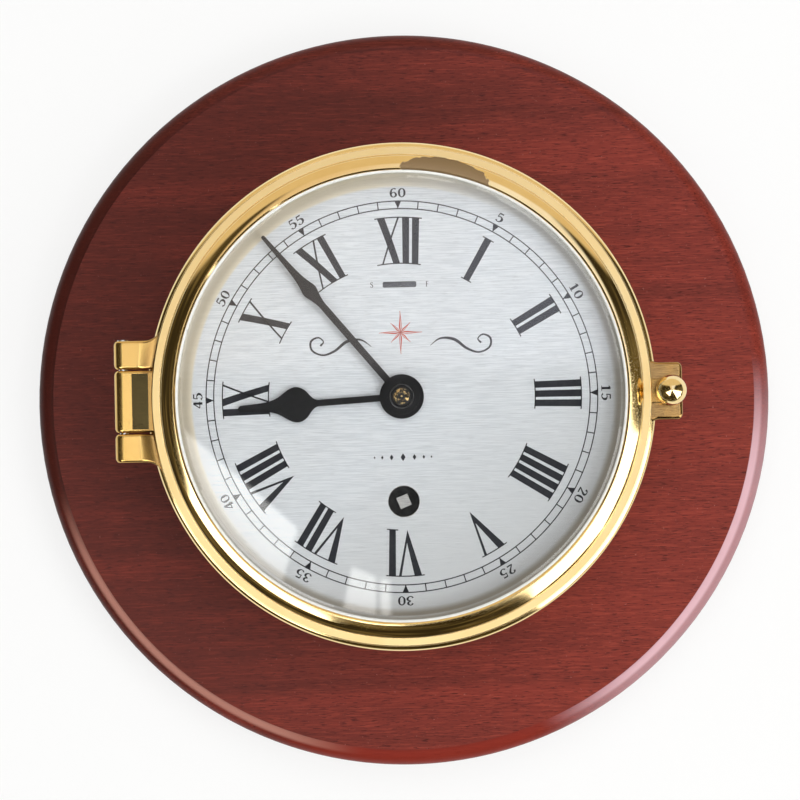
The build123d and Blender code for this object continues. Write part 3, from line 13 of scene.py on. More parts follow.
import bmesh
import bpy
from mathutils import Euler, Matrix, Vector


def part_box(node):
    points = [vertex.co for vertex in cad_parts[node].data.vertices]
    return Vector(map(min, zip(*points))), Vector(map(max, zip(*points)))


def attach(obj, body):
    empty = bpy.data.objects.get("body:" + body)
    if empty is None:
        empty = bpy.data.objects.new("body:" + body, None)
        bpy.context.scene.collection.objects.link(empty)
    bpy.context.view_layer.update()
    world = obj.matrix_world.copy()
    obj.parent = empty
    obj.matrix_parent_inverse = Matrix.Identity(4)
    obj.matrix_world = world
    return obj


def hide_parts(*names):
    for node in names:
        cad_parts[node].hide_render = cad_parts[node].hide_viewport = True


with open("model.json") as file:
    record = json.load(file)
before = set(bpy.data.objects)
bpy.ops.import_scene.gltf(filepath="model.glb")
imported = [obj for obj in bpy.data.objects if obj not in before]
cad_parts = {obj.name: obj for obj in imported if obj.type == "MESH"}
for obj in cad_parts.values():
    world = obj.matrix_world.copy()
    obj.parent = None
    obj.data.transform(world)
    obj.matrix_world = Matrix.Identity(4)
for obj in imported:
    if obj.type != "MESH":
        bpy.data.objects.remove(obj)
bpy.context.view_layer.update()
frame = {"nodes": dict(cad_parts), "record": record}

# %% [markdown]
# ## Places on the clock
#
# The clock hangs with its board flat on the wall: X runs to the right of the dial, Z up to
# the XII, and the dial looks along -Y. A clockmaker thinks in millimetres across the dial,
# up the dial and out from the wall, so one helper turns those three into a point, and the
# sizes are read back from the solid model instead of being typed again.

# %% Points and sizes in millimetres
MM = 0.001


def spot(across, up, out):
    """A point given in millimetres across the dial, up it and out from the wall."""
    return Vector((across * MM, -out * MM, up * MM))


def middle(node):
    """The middle of a node in millimetres across, up and out."""
    across, depth, up = ((low + high) / 2 / MM for low, high in zip(*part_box(node)))
    return across, up, -depth


def reach(node):
    """The radius of a round node, measured straight up to the XII, in millimetres."""
    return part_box(node)[1].z / MM


def front(node):
    """How far a node's front stands out from the wall, in millimetres."""
    return -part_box(node)[0].y / MM


def back(node):
    """How far a node's back stands out from the wall, in millimetres."""
    return -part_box(node)[1].y / MM


print("dial face", round(front("dial"), 2), "bezel radius", round(reach("bezel"), 2),
      "rim", round(reach("case_shell"), 2))

# %% [markdown]
# ## Wiring nodes from a script
#
# Materials and Geometry Nodes are both trees of nodes. One small class keeps the wiring
# short: it adds a node, fills a socket with a value or a link, does sums, mixes colours and
# makes soft steps. A colour is written as red, green and blue, and gets its alpha here.

# %% Node helpers
MIX_FACTOR, MIX_FIRST, MIX_SECOND, MIX_RESULT = 0, 6, 7, 2


class Wiring:
    """A node tree, with short words for what this lesson wires."""

    def __init__(self, tree):
        self.tree = tree

    def put(self, socket, value):
        """Links another socket to this one, or sets it to a plain value."""
        if isinstance(value, bpy.types.NodeSocket):
            self.tree.links.new(value, socket)
        elif socket.type == "RGBA":
            socket.default_value = (*value, 1)
        else:
            socket.default_value = value

    def add(self, kind, inputs=None, **settings):
        """Adds a node, changes its settings, then fills its named inputs."""
        made = self.tree.nodes.new(kind)
        for key, value in settings.items():
            setattr(made, key, value)
        for key, value in (inputs or {}).items():
            self.put(made.inputs[key], value)
        return made

    def shape(self, kind, **inputs):
        """Adds a geometry node and gives its first output; Vertices_X stands for Vertices X."""
        named = {key.replace("_", " "): value for key, value in inputs.items()}
        return self.add("GeometryNode" + kind, named).outputs[0]

    def calc(self, operation, *values, kind="ShaderNodeMath"):
        """One step of arithmetic."""
        made = self.add(kind, operation=operation)
        for socket, value in zip(made.inputs, values):
            self.put(socket, value)
        return made.outputs[0]

    def times(self, first, *others):
        """A product of two or more values."""
        for other in others:
            first = self.calc("MULTIPLY", first, other)
        return first

    def plus(self, first, *others):
        """A sum of two or more values."""
        for other in others:
            first = self.calc("ADD", first, other)
        return first

    def minus(self, first, second):
        """The first value less the second."""
        return self.calc("SUBTRACT", first, second)

    def length(self, across, up):
        """The straight distance made by a step across and a step up."""
        return self.calc("SQRT", self.plus(self.times(across, across), self.times(up, up)))

    def parts(self, vector):
        """The X, Y and Z of a vector."""
        return self.add("ShaderNodeSeparateXYZ", {"Vector": vector}).outputs

    def vector(self, x=0.0, y=0.0, z=0.0):
        """A vector from its X, Y and Z."""
        return self.add("ShaderNodeCombineXYZ", {"X": x, "Y": y, "Z": z}).outputs[0]

    def noise(self, place, scale, detail, roughness=0.5):
        """Smooth noise from 0 to 1."""
        return self.add("ShaderNodeTexNoise", {"Vector": place, "Scale": scale, "Detail": detail,
                                               "Roughness": roughness}).outputs[0]

    def ramp(self, value, low, high, low_result=0.0, high_result=1.0):
        """A soft step from one result to another as the value passes from low to high."""
        ends = {"From Min": low, "From Max": high, "To Min": low_result, "To Max": high_result}
        made = self.add("ShaderNodeMapRange", {"Value": value, **ends}, interpolation_type="SMOOTHSTEP")
        return made.outputs["Result"]

    def band(self, value, rise, fall):
        """A mask that steps up over one pair of values and down again over another."""
        return self.times(self.ramp(value, *rise), self.ramp(value, *fall, 1.0, 0.0))

    def tint(self, factor, first, second):
        """A colour between two others."""
        made = self.add("ShaderNodeMix", data_type="RGBA")
        for key, value in ((MIX_FACTOR, factor), (MIX_FIRST, first), (MIX_SECOND, second)):
            self.put(made.inputs[key], value)
        return made.outputs[MIX_RESULT]

    def over(self, colour, *marks):
        """A colour with marks laid over it in turn; each is a mask and its own colour."""
        for mask, mark in marks:
            colour = self.tint(mask, colour, mark)
        return colour

    def blend(self, factor, first, second):
        """A mix of two shaders."""
        made = self.add("ShaderNodeMixShader", {"Fac": factor})
        self.put(made.inputs[1], first)
        self.put(made.inputs[2], second)
        return made.outputs[0]


print("node helpers ready")

# %% [markdown]
# ## Marks that several finishes share
#
# Wood fibres, the brushing on a silvered dial and the grain of rolled brass are all fine
# streaks that run one way. Tarnish, dust and fingermarks are all soft blotches. Each is a
# node group, made once, and every finish sets its own sizes. A third group gives the
# distance from the dial's centre and the angle round it from the XII, so that a mark can
# sit at two o'clock on a ring.

# %% Shared node groups
def start_group(name, numbers, outputs):
    """An empty shader group that is given a place on the clock and some numbers."""
    group = bpy.data.node_groups.new(name, "ShaderNodeTree")
    group.interface.new_socket("Place", in_out="INPUT", socket_type="NodeSocketVector")
    for label, value in numbers.items():
        socket = group.interface.new_socket(label, in_out="INPUT", socket_type="NodeSocketFloat")
        socket.default_value = value
    for label in outputs:
        group.interface.new_socket(label, in_out="OUTPUT", socket_type="NodeSocketFloat")
    wire = Wiring(group)
    return wire, wire.add("NodeGroupInput").outputs, wire.add("NodeGroupOutput").inputs


def streaks_group():
    """Fine streaks along X, with their spacing along and across given per metre."""
    numbers = {"Along": 100.0, "Across": 2000.0, "Detail": 4.0}
    wire, given, result = start_group("streaks", numbers, ("Streaks",))
    spacing = wire.vector(given["Along"], given["Across"], given["Across"])
    stretched = wire.calc("MULTIPLY", given["Place"], spacing, kind="ShaderNodeVectorMath")
    wire.put(result["Streaks"], wire.noise(stretched, 1.0, given["Detail"], 0.6))
    return wire.tree


def blotches_group():
    """Soft patches: how many per metre, how much they cover, and how soft their edge is."""
    numbers = {"Per Metre": 100.0, "Cover": 0.4, "Softness": 0.1}
    wire, given, result = start_group("blotches", numbers, ("Mask",))
    noise = wire.noise(given["Place"], given["Per Metre"], 5.0, 0.62)
    edge = wire.minus(1.0, given["Cover"])
    low, high = wire.minus(edge, given["Softness"]), wire.plus(edge, given["Softness"])
    wire.put(result["Mask"], wire.ramp(noise, low, high))
    return wire.tree


def round_the_dial_group():
    """Distance from the dial's axis in millimetres, and degrees clockwise from the XII."""
    wire, given, result = start_group("round_the_dial", {}, ("Radius", "Degrees"))
    parts = wire.parts(given["Place"])
    wire.put(result["Radius"], wire.calc("DIVIDE", wire.length(parts["X"], parts["Z"]), MM))
    wire.put(result["Degrees"], wire.calc("DEGREES", wire.calc("ARCTAN2", parts["X"], parts["Z"])))
    return wire.tree


GROUPS = {"streaks": streaks_group(), "blotches": blotches_group(), "round": round_the_dial_group()}
print("shared groups:", ", ".join(GROUPS))

# %% [markdown]
# ## Starting a finish
#
# Every finish is one Principled shader. What is the same all over a surface is set as a plain
# number, and what varies is wired from the shared marks. So that the marks stay put when a
# piece moves, they are laid out in the object's own coordinates.

# %% A finish
class Finish(Wiring):
    """A new material with its plain numbers set, ready for the marks that vary."""

    def __init__(self, name, **constants):
        self.material = bpy.data.materials.new(name)
        self.material.use_nodes = True
        super().__init__(self.material.node_tree)
        self.shader = self.tree.nodes["Principled BSDF"]
        self.place = self.add("ShaderNodeTexCoord").outputs["Object"]
        self.show(**constants)

    def show(self, **values):
        """Sets or links inputs of the shader; Base_Color stands for Base Color."""
        for key, value in values.items():
            self.put(self.shader.inputs[key.replace("_", " ")], value)

    def bumps(self, height, depth, strength):
        """Feeds a height into the shader's normal, with the depth in millimetres."""
        bump = self.add("ShaderNodeBump", {"Height": height, "Distance": depth * MM, "Strength": strength})
        self.show(Normal=bump.outputs[0])

    def group(self, name, **numbers):
        """Places a shared group; per_metre stands for its input Per Metre."""
        made = self.add("ShaderNodeGroup", node_tree=GROUPS[name])
        self.put(made.inputs["Place"], self.place)
        for key, value in numbers.items():
            self.put(made.inputs[key.replace("_", " ").title()], value)
        return made.outputs

    def streaks(self, **numbers):
        """Fine streaks, as a value from 0 to 1."""
        return self.group("streaks", **numbers)["Streaks"]

    def blotches(self, **numbers):
        """Soft patches, as a mask."""
        return self.group("blotches", **numbers)["Mask"]

    def ring(self):
        """The Radius and the Degrees of a place on the dial."""
        return self.group("round")

    def toward(self, ring, degrees):
        """The cosine of how far a place lies from one direction round the dial."""
        return self.calc("COSINE", self.calc("RADIANS", self.minus(ring["Degrees"], degrees)))


FINISHES = {}
print("a finish starts from one Principled shader")

# %% [markdown]
# ## Mahogany
#
# The board is old mahogany, stained dark red and French polished. Its grain runs level
# across the clock: fine fibres, short dark pores, and broad bands where the colour drifts.
# Painted light makes the wood lighter toward the lower right, and its dust shows more there.
# The polish is a clear coat over the wood that has gone satin with age. Along the moulded edge
# painted highlights lie pale at the lower right and lower left, and painted shade darkens the left and the
# foot.

# %% Mahogany
DARK_WOOD, MID_WOOD, RED_WOOD = (0.085, 0.0145, 0.010), (0.18, 0.026, 0.017), (0.31, 0.050, 0.030)
WOOD_PORES, WOOD_DUST = (0.030, 0.007, 0.006), (0.40, 0.17, 0.14)
EDGE_STARTS, EDGE_TURNS, EDGE_BACK = (105.05, 105.35), (106.9, 108.0), (-0.0145, -0.0125)
# Painted highlights and shade on the edge, each: its middle in degrees, the cosines off it where
# it is faint and full, its share, how much of that is left on the outer half, and its colour.
EDGE_LIGHT_AND_SHADE = (
    (285.0, (0.70, 0.95), 0.80, 1.0, (0.045, 0.009, 0.006)),
    (178.0, (0.88, 0.97), 0.75, 1.0, (0.22, 0.022, 0.012)),
    (222.0, (0.82, 0.96), 0.85, 0.0, (0.42, 0.19, 0.145)),
    (121.0, (0.79, 0.96), 0.90, 0.5, (0.66, 0.42, 0.46)),
)


def mahogany():
    """Polished wood with level grain and dusty pores, painted light toward the lower right, and painted
    highlights and shade on its moulded edge.
    """
    paint = Finish("mahogany", Coat_Weight=0.14, Coat_Roughness=0.24, Specular_IOR_Level=0.06)
    bands = paint.streaks(along=4.0, across=95.0, detail=4.0)
    fibres = paint.streaks(along=110.0, across=1900.0, detail=6.0)
    pores = paint.ramp(paint.streaks(along=330.0, across=4200.0, detail=2.0), 0.56, 0.66)
    dust = paint.blotches(per_metre=1300.0, cover=0.30, softness=0.05)
    ring, parts = paint.ring(), paint.parts(paint.place)
    # Painted light: the wood grows lighter toward the lower right, its red fibres brighten and its dust shows
    # more there.
    painted_light_right = paint.ramp(paint.minus(parts["X"], paint.times(parts["Z"], 0.35)), -0.11, 0.14)
    bands_and_light = paint.plus(paint.times(bands, 0.75), paint.times(painted_light_right, 0.28))
    bright = paint.times(paint.ramp(fibres, 0.46, 0.72), paint.ramp(bands_and_light, 0.35, 0.75, 0.25, 0.8))
    dusty = paint.times(dust, paint.ramp(painted_light_right, 0.0, 1.0, 0.25, 0.50))
    colour = paint.tint(paint.ramp(bands_and_light, 0.32, 0.70), DARK_WOOD, MID_WOOD)
    colour = paint.over(colour, (bright, RED_WOOD), (paint.times(pores, 0.7), WOOD_PORES), (dusty, WOOD_DUST))
    on_edge = paint.times(paint.ramp(ring["Radius"], *EDGE_STARTS),
                          paint.ramp(parts["Y"], *EDGE_BACK, 1.0, 0.0))
    # Painted light on the edge: dark painted shade at the left and the foot, pale painted highlights at the
    # lower left and lower right.
    for degrees, cosines, share, outer_share, mark in EDGE_LIGHT_AND_SHADE:
        near = paint.ramp(paint.toward(ring, degrees), *cosines, 0.0, share)
        inside = paint.ramp(ring["Radius"], *EDGE_TURNS, 1.0, outer_share)
        colour = paint.tint(paint.times(on_edge, near, inside), colour, mark)
    paint.show(Base_Color=colour, Roughness=paint.ramp(fibres, 0.2, 0.8, 0.34, 0.50))
    paint.bumps(paint.minus(paint.times(fibres, 0.5), pores), depth=0.02, strength=0.4)
    return paint.material


FINISHES["mahogany"] = mahogany()
print("made finish mahogany")

# %% [markdown]
# ## Polished brass
#
# The case and bezel are lacquered brass polished to a mirror, so nearly all their look is
# reflection: what matters is a clean golden colour and a low, slightly uneven roughness.
# The lacquer has failed in one place just right of the XII, where the ovolo has gone brown,
# and cloths have left fine wipe marks near three o'clock. The lugs, which are handled, are
# the same brass gone satin, with a brown painted shade beside the rim where they meet it.

# %% Polished brass
# Where the lacquer failed: the middle, half the size and the squareness, by degrees and by radius.
TARNISH = ((12.4, 11.4, 2.2), (64.2, 5.0, 2.8))
TARNISH_BACK = (-0.0655, -0.0645)
# Wipe marks by degrees; the flat outside the ovolo and the painted shade beside the rim by radius.
WIPED_RISE, WIPED_FALL = (60.0, 85.0), (110.0, 130.0)
FLAT_RISE, FLAT_FALL, RIM_SHADE_FALL = (69.2, 69.4), (71.2, 71.4), (73.6, 76.0)
RIM_SHADE, SPECK = (0.26, 0.145, 0.05), (0.35, 0.20, 0.06)
BARE_BROWN, DULL_FLAT = (0.20, 0.125, 0.058), (0.58, 0.42, 0.19)


def polished_brass(name, clean, smeared, satin, rim_shade):
    """Lacquered brass; satin is extra roughness from handling, rim_shade the share of a brown painted shade
    beside the rim.
    """
    paint = Finish(name)
    ring = paint.ring()
    smears = paint.blotches(per_metre=55.0, cover=0.5, softness=0.2)
    specks = paint.blotches(per_metre=1500.0, cover=0.25, softness=0.03)
    wiped = paint.ramp(paint.streaks(along=900.0, across=6000.0, detail=2.0), 0.60, 0.66)
    scuffs = paint.times(wiped, paint.band(ring["Degrees"], WIPED_RISE, WIPED_FALL))
    on_flat = paint.band(ring["Radius"], FLAT_RISE, FLAT_FALL)
    off = []
    for value, (centre, half, squareness) in zip((ring["Degrees"], ring["Radius"]), TARNISH):
        share = paint.calc("DIVIDE", paint.minus(value, centre), half)
        off.append(paint.calc("POWER", paint.calc("ABSOLUTE", share), squareness))
    ragged = paint.ramp(paint.noise(paint.place, 420.0, 3.0), 0.3, 0.7, -0.10, 0.10)
    inside = paint.ramp(paint.plus(*off, ragged), 0.95, 1.02, 1.0, 0.0)
    failed = paint.times(inside, paint.ramp(paint.parts(paint.place)["Y"], *TARNISH_BACK, 1.0, 0.0))
    # The brown beside the rim is painted shade, where the lugs meet it.
    colour = paint.over(paint.tint(smears, clean, smeared),
                        (paint.ramp(ring["Radius"], *RIM_SHADE_FALL, rim_shade, 0.0), RIM_SHADE),
                        (paint.times(specks, 0.35), SPECK),
                        (paint.times(failed, 0.95), BARE_BROWN),
                        (paint.times(on_flat, 0.5), DULL_FLAT))
    rough = paint.plus(paint.ramp(smears, 0.0, 1.0, 0.07, 0.12), paint.times(failed, 0.35),
                       paint.times(on_flat, 0.22), paint.times(scuffs, 0.20), satin)
    paint.show(Base_Color=colour, Metallic=paint.minus(1.0, paint.times(failed, 0.7)), Roughness=rough)
    paint.bumps(paint.plus(paint.times(scuffs, 0.3), failed), depth=0.02, strength=0.35)
    return paint.material


# Each finish: its clean and smeared colours, its extra roughness and its share of painted shade beside the
# rim.
POLISHED = {"polished_brass": ((0.94, 0.74, 0.38), (0.90, 0.68, 0.32), 0.0, 0.0),
            "satin_brass": ((0.74, 0.50, 0.18), (0.67, 0.43, 0.14), 0.13, 0.65)}
for name, values in POLISHED.items():
    FINISHES[name] = polished_brass(name, *values)
print("made finishes", ", ".join(POLISHED))

# %% [markdown]
# ## Grained metals
#
# Inside the case the movement's brass is only grained, and its steel is grey and finely
# brushed. The same rule serves metal that has dulled or been darkened, such as the latch lug
# and the sunk panel of the hinge: only the two colours and the roughness change.

# %% Grained metals
def grained_metal(name, light, dark, roughness):
    """Rolled and brushed metal with dull patches."""
    paint = Finish(name, Metallic=1.0)
    grain = paint.streaks(along=250.0, across=5000.0, detail=4.0)
    dull = paint.blotches(per_metre=160.0, cover=0.42, softness=0.18)
    colour = paint.tint(paint.ramp(grain, 0.3, 0.7), dark, light)
    paint.show(Base_Color=paint.tint(paint.times(dull, 0.3), colour, dark),
               Roughness=paint.plus(roughness, paint.ramp(dull, 0.0, 1.0, 0.0, 0.15)))
    paint.bumps(grain, depth=0.004, strength=0.4)
    return paint.material


# Each finish: its light and dark colours and its roughness.
GRAINED = {"brass": ((0.83, 0.60, 0.24), (0.62, 0.41, 0.14), 0.24),
           "darkened_brass": ((0.085, 0.066, 0.028), (0.05, 0.039, 0.017), 0.18),
           "dull_brass": ((0.54, 0.34, 0.13), (0.33, 0.19, 0.07), 0.12),
           "blackened_steel": ((0.17, 0.18, 0.20), (0.07, 0.075, 0.085), 0.30),
           "worn_steel": ((0.52, 0.52, 0.51), (0.30, 0.30, 0.30), 0.30),
           "steel": ((0.66, 0.66, 0.67), (0.47, 0.47, 0.48), 0.22)}
for name, values in GRAINED.items():
    FINISHES[name] = grained_metal(name, *values)
print("made finishes", ", ".join(GRAINED))

# %% [markdown]
# ## Glass and silvered dial
#
# The glass is clear and only carries faint fingermarks. Light has to reach the dial through
# it, so shadow rays pass straight through instead of waiting for a caustic. The dial is
# silvered brass: a pale metal with level brushing. Painted shade makes it darker toward its lower
# right, a painted reflection of the brass bezel yellows its edge at the upper left, and a painted
# shadow of the bezel browns its edge, most toward the lower right.

# %% Glass and dial
DIAL_SHADE, DIAL_LIGHT, DIAL_CLOUD = (0.69, 0.735, 0.79), (0.85, 0.89, 0.945), (0.74, 0.73, 0.70)
DIAL_SHADOWED, DIAL_DASH = (0.62, 0.645, 0.67), (0.50, 0.525, 0.555)
# Painted reflection of the brass bezel on the dial's edge: its colour, the radii where it fades in, and its
# direction.
DIAL_BEZEL_REFLECTION, REFLECTION_RING, REFLECTION_TOWARD = (0.84, 0.73, 0.50), (60.2, 61.2), -55.0
# Painted shadow of the bezel on the dial's edge: its colour, the radii where it fades in, and its direction.
DIAL_BEZEL_SHADOW, SHADOW_RING, SHADOW_TOWARD = (0.30, 0.265, 0.19), (60.6, 62.6), 145.0


def clear_glass():
    """Glass with faint fingermarks that lets shadow rays through."""
    paint = Finish("clear_glass", Transmission_Weight=1.0, IOR=1.5)
    touched = paint.blotches(per_metre=45.0, cover=0.40, softness=0.15)
    paint.show(Base_Color=paint.tint(touched, (0.99, 1.0, 0.995), (0.975, 0.98, 0.975)),
               Roughness=paint.ramp(touched, 0.0, 1.0, 0.0, 0.012))
    in_shadow = paint.add("ShaderNodeLightPath").outputs["Is Shadow Ray"]
    open_air = paint.add("ShaderNodeBsdfTransparent").outputs[0]
    through = paint.blend(in_shadow, paint.shader.outputs[0], open_air)
    paint.put(paint.tree.nodes["Material Output"].inputs["Surface"], through)
    return paint.material


def silvered_dial():
    """Brushed silvering, clouded, with painted shade toward the lower right and a painted reflection and a
    painted shadow of the bezel at its edge.
    """
    paint = Finish("silvered_dial", Metallic=0.12)
    brushing = paint.streaks(along=100.0, across=2900.0, detail=4.0)
    dashes = paint.streaks(along=280.0, across=2600.0, detail=2.0)
    clouds = paint.blotches(per_metre=28.0, cover=0.5, softness=0.25)
    ring, parts = paint.ring(), paint.parts(paint.place)
    # Painted shade: the dial grows darker toward its lower right.
    slant = paint.minus(parts["Z"], paint.times(parts["X"], 0.5))
    # Painted reflection: the brass bezel yellows the dial's edge, most toward the upper left.
    bezel_reflection = paint.times(paint.ramp(ring["Radius"], *REFLECTION_RING),
                           paint.ramp(paint.toward(ring, REFLECTION_TOWARD), 0.0, 0.8, 0.0, 0.7))
    # Painted shadow: the bezel browns the dial's edge all round, most toward the lower right.
    bezel_shadow = paint.times(paint.ramp(ring["Radius"], *SHADOW_RING),
                          paint.ramp(paint.toward(ring, SHADOW_TOWARD), -1.0, 1.0, 0.35, 0.80))
    colour = paint.over(paint.tint(paint.ramp(brushing, 0.38, 0.62), DIAL_SHADE, DIAL_LIGHT),
                        (paint.times(clouds, 0.10), DIAL_CLOUD),
                        (paint.ramp(slant, -0.065, 0.0, 0.82, 0.0), DIAL_SHADOWED),
                        (paint.ramp(dashes, 0.56, 0.68, 0.0, 0.32), DIAL_DASH),
                        (bezel_reflection, DIAL_BEZEL_REFLECTION), (bezel_shadow, DIAL_BEZEL_SHADOW))
    paint.show(Base_Color=colour, Roughness=paint.ramp(brushing, 0.2, 0.8, 0.34, 0.46))
    paint.bumps(brushing, depth=0.004, strength=0.5)
    return paint.material


FINISHES["clear_glass"] = clear_glass()
FINISHES["silvered_dial"] = silvered_dial()
print("finishes so far:", len(FINISHES))

# %% [markdown]
# ## Blackened hands, inks and other coats
#
# The hands are steel, blackened and matt, and the inks are thin and a little uneven. All of
# them are thin coats, so one rule makes them from two shades and a roughness. The nut on the
# hands needs its own rule, because its black has been rubbed through to brass.

# %% Coats
NUT_BLACK, NUT_BRASS = (0.016, 0.015, 0.014), (0.80, 0.56, 0.24)
NUT_RING_RISE, NUT_RING_FALL, NUT_POINT = (0.9, 1.2), (2.0, 2.5), (0.20, 0.28)
COAT_SPREAD = 0.08


def matt_coating(name, thin, thick, roughness, shine):
    """A thin black or coloured coat with a fine uneven surface."""
    paint = Finish(name, Specular_IOR_Level=shine)
    uneven = paint.blotches(per_metre=700.0, cover=0.45, softness=0.25)
    fine = paint.noise(paint.place, 6000.0, 2.0)
    rough = paint.ramp(fine, 0.2, 0.8, roughness - COAT_SPREAD, roughness + COAT_SPREAD)
    paint.show(Base_Color=paint.tint(uneven, thin, thick), Roughness=rough)
    paint.bumps(fine, depth=0.006, strength=0.5)
    return paint.material


def worn_black_brass():
    """The nut on the hands: black coat rubbed through to brass by the setting key."""
    paint = Finish("worn_black_brass")
    patches = paint.blotches(per_metre=1100.0, cover=0.47, softness=0.05)
    radius = paint.ring()["Radius"]
    high_ring = paint.times(patches, paint.band(radius, NUT_RING_RISE, NUT_RING_FALL))
    rubbed = paint.calc("MAXIMUM", high_ring, paint.ramp(radius, *NUT_POINT, 1.0, 0.0))
    paint.show(Base_Color=paint.tint(rubbed, NUT_BLACK, NUT_BRASS), Metallic=rubbed,
               Roughness=paint.ramp(rubbed, 0.0, 1.0, 0.22, 0.30))
    paint.bumps(rubbed, depth=0.02, strength=0.5)
    return paint.material


# Each coat: its thin and thick colours, its roughness and its shine.
COATS = {"black_hands": ((0.011, 0.011, 0.012), (0.006, 0.006, 0.007), 0.40, 0.2),
         "charcoal_ink": ((0.032, 0.034, 0.041), (0.019, 0.020, 0.025), 0.55, 0.2),
         "red_ink": ((0.62, 0.085, 0.035), (0.50, 0.055, 0.022), 0.55, 0.2),
         "lamp_black": ((0.10, 0.10, 0.098), (0.05, 0.05, 0.05), 0.75, 0.2),
         "pale_compound": ((0.80, 0.80, 0.76), (0.70, 0.70, 0.66), 0.40, 0.2),
         "polished_black": ((0.010, 0.010, 0.010), (0.006, 0.006, 0.006), 0.16, 0.6)}
for name, values in COATS.items():
    FINISHES[name] = matt_coating(name, *values)
FINISHES["worn_black_brass"] = worn_black_brass()
print("finishes in all:", len(FINISHES))

# %% [markdown]
# ## Dressing the solids
#
# Most of the clock's solids already have the shape of the real piece: the board, the dial,
# the hands and the whole movement. They stay, and take the finish that the record names for
# them. Three differ: the nut's black has worn through, the winding square is scratched by its
# key, and the regulator's pin is blackened as painted shade, so that the slot above it looks dark.

# %% Give every solid its finish
finish_of = {entry["node"]: entry["material_slot"] for entry in frame["record"]["subparts"]}
finish_of["hand_nut"] = "worn_black_brass"
finish_of["winding_arbor"] = "worn_steel"
# Painted shade: the blackened regulator index keeps the slot dark.
finish_of["regulator_index"] = "blackened_steel"
for name, solid in frame["nodes"].items():
    solid.data.materials.clear()
    solid.data.materials.append(FINISHES[finish_of[name]])
print("dressed", len(frame["nodes"]), "solids")

# %% [markdown]
# ## Turned brass by Geometry Nodes
#
# The bezel, the case and the ball of the closing screw are all lathe work: one outline,
# swept round an axis. A Spin in mesh code would do, but a Geometry Nodes tree shows the rule
# itself. It lays out a grid, sends each grid point to one outline point at one angle, and
# merges the seam. Every tree in this lesson starts from named inputs, and ends in real
# geometry with its finish on it.

# %% A lathe as a node tree
SEAM = 1e-7


def start_tree(name, kinds):
    """An empty Geometry Nodes tree, what it is given, and the keys that set its named inputs."""
    tree = bpy.data.node_groups.new(name, "GeometryNodeTree")
    tree.is_modifier = True
    tree.interface.new_socket("Start", in_out="INPUT", socket_type="NodeSocketGeometry")
    keys = {}
    for label, kind in kinds.items():
        socket = tree.interface.new_socket(label, in_out="INPUT", socket_type="NodeSocket" + kind)
        keys[label] = socket.identifier
    tree.interface.new_socket("Piece", in_out="OUTPUT", socket_type="NodeSocketGeometry")
    wire = Wiring(tree)
    return wire, wire.add("NodeGroupInput").outputs, keys


def end_tree(wire, geometry, finish):
    """Makes the geometry real and gives it its finish."""
    whole = wire.shape("RealizeInstances", Geometry=geometry)
    painted = wire.shape("SetMaterial", Geometry=whole, Material=finish)
    wire.put(wire.add("NodeGroupOutput").inputs["Piece"], painted)


def lathe_tree():
    """Sweeps the outline in an object's own vertices round an axis that points out of the wall."""
    wire, given, keys = start_tree("turned_brass", {"Steps": "Int", "Axis": "Vector", "Finish": "Material"})
    count = wire.shape("AttributeDomainSize", Geometry=given["Start"])
    rows = wire.plus(count, 1.0)
    grid = wire.shape("MeshGrid", Vertices_X=wire.plus(given["Steps"], 1.0), Vertices_Y=rows)
    index = wire.shape("InputIndex")
    # The half keeps the division clear of rounding.
    step = wire.calc("FLOOR", wire.calc("DIVIDE", wire.plus(index, 0.5), rows))
    point = wire.calc("MODULO", wire.minus(index, wire.times(step, rows)), count)
    sampled = {"Geometry": given["Start"], "Value": wire.shape("InputPosition"), "Index": point}
    outline = wire.add("GeometryNodeSampleIndex", sampled, data_type="FLOAT_VECTOR", domain="POINT")
    parts = wire.parts(outline.outputs[0])
    angle = wire.times(wire.calc("DIVIDE", step, given["Steps"]), math.tau)
    across = wire.times(parts["X"], wire.calc("SINE", angle))
    up = wire.times(parts["X"], wire.calc("COSINE", angle))
    swept = wire.vector(across, parts["Y"], up)
    shifted = wire.calc("ADD", swept, given["Axis"], kind="ShaderNodeVectorMath")
    moved_grid = wire.shape("SetPosition", Geometry=grid, Position=shifted)
    end_tree(wire, wire.shape("MergeByDistance", Geometry=moved_grid, Distance=SEAM), given["Finish"])
    return wire.tree, keys


LATHE = lathe_tree()
print("lathe tree has", len(LATHE[0].nodes), "nodes")

# %% [markdown]
# ## From node tree to plain mesh
#
# A modifier is handy while shaping, but the finished clock should hold plain meshes. These
# helpers run a tree, keep its result, drop the modifier, turn all faces outward and mark
# the sharp edges, so that smooth shading stops where the metal has a corner.

# %% Keeping the result
SHARP_ANGLE = math.radians(32)


def settle(mesh):
    """Faces outward, smooth shading that stops at sharp edges."""
    shape = bmesh.new()
    shape.from_mesh(mesh)
    bmesh.ops.recalc_face_normals(shape, faces=shape.faces)
    shape.to_mesh(mesh)
    shape.free()
    mesh.polygons.foreach_set("use_smooth", [True] * len(mesh.polygons))
    mesh.set_sharp_from_angle(angle=SHARP_ANGLE)
    mesh.update()
    return mesh


def bring_in(name, data):
    """A new object in the scene."""
    thing = bpy.data.objects.new(name, data)
    bpy.context.scene.collection.objects.link(thing)
    return thing


def applied(holder):
    """The plain mesh that an object's modifier makes; the object itself goes."""
    made = bpy.data.meshes.new_from_object(holder.evaluated_get(bpy.context.evaluated_depsgraph_get()))
    bpy.data.objects.remove(holder)
    return settle(made)


def place_piece(name, mesh, body, finish):
    """Puts a finished mesh in the scene, riding on one body of the clock."""
    piece = bring_in(name, mesh)
    mesh.name = name
    mesh.materials.clear()
    mesh.materials.append(FINISHES[finish])
    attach(piece, body)
    return piece


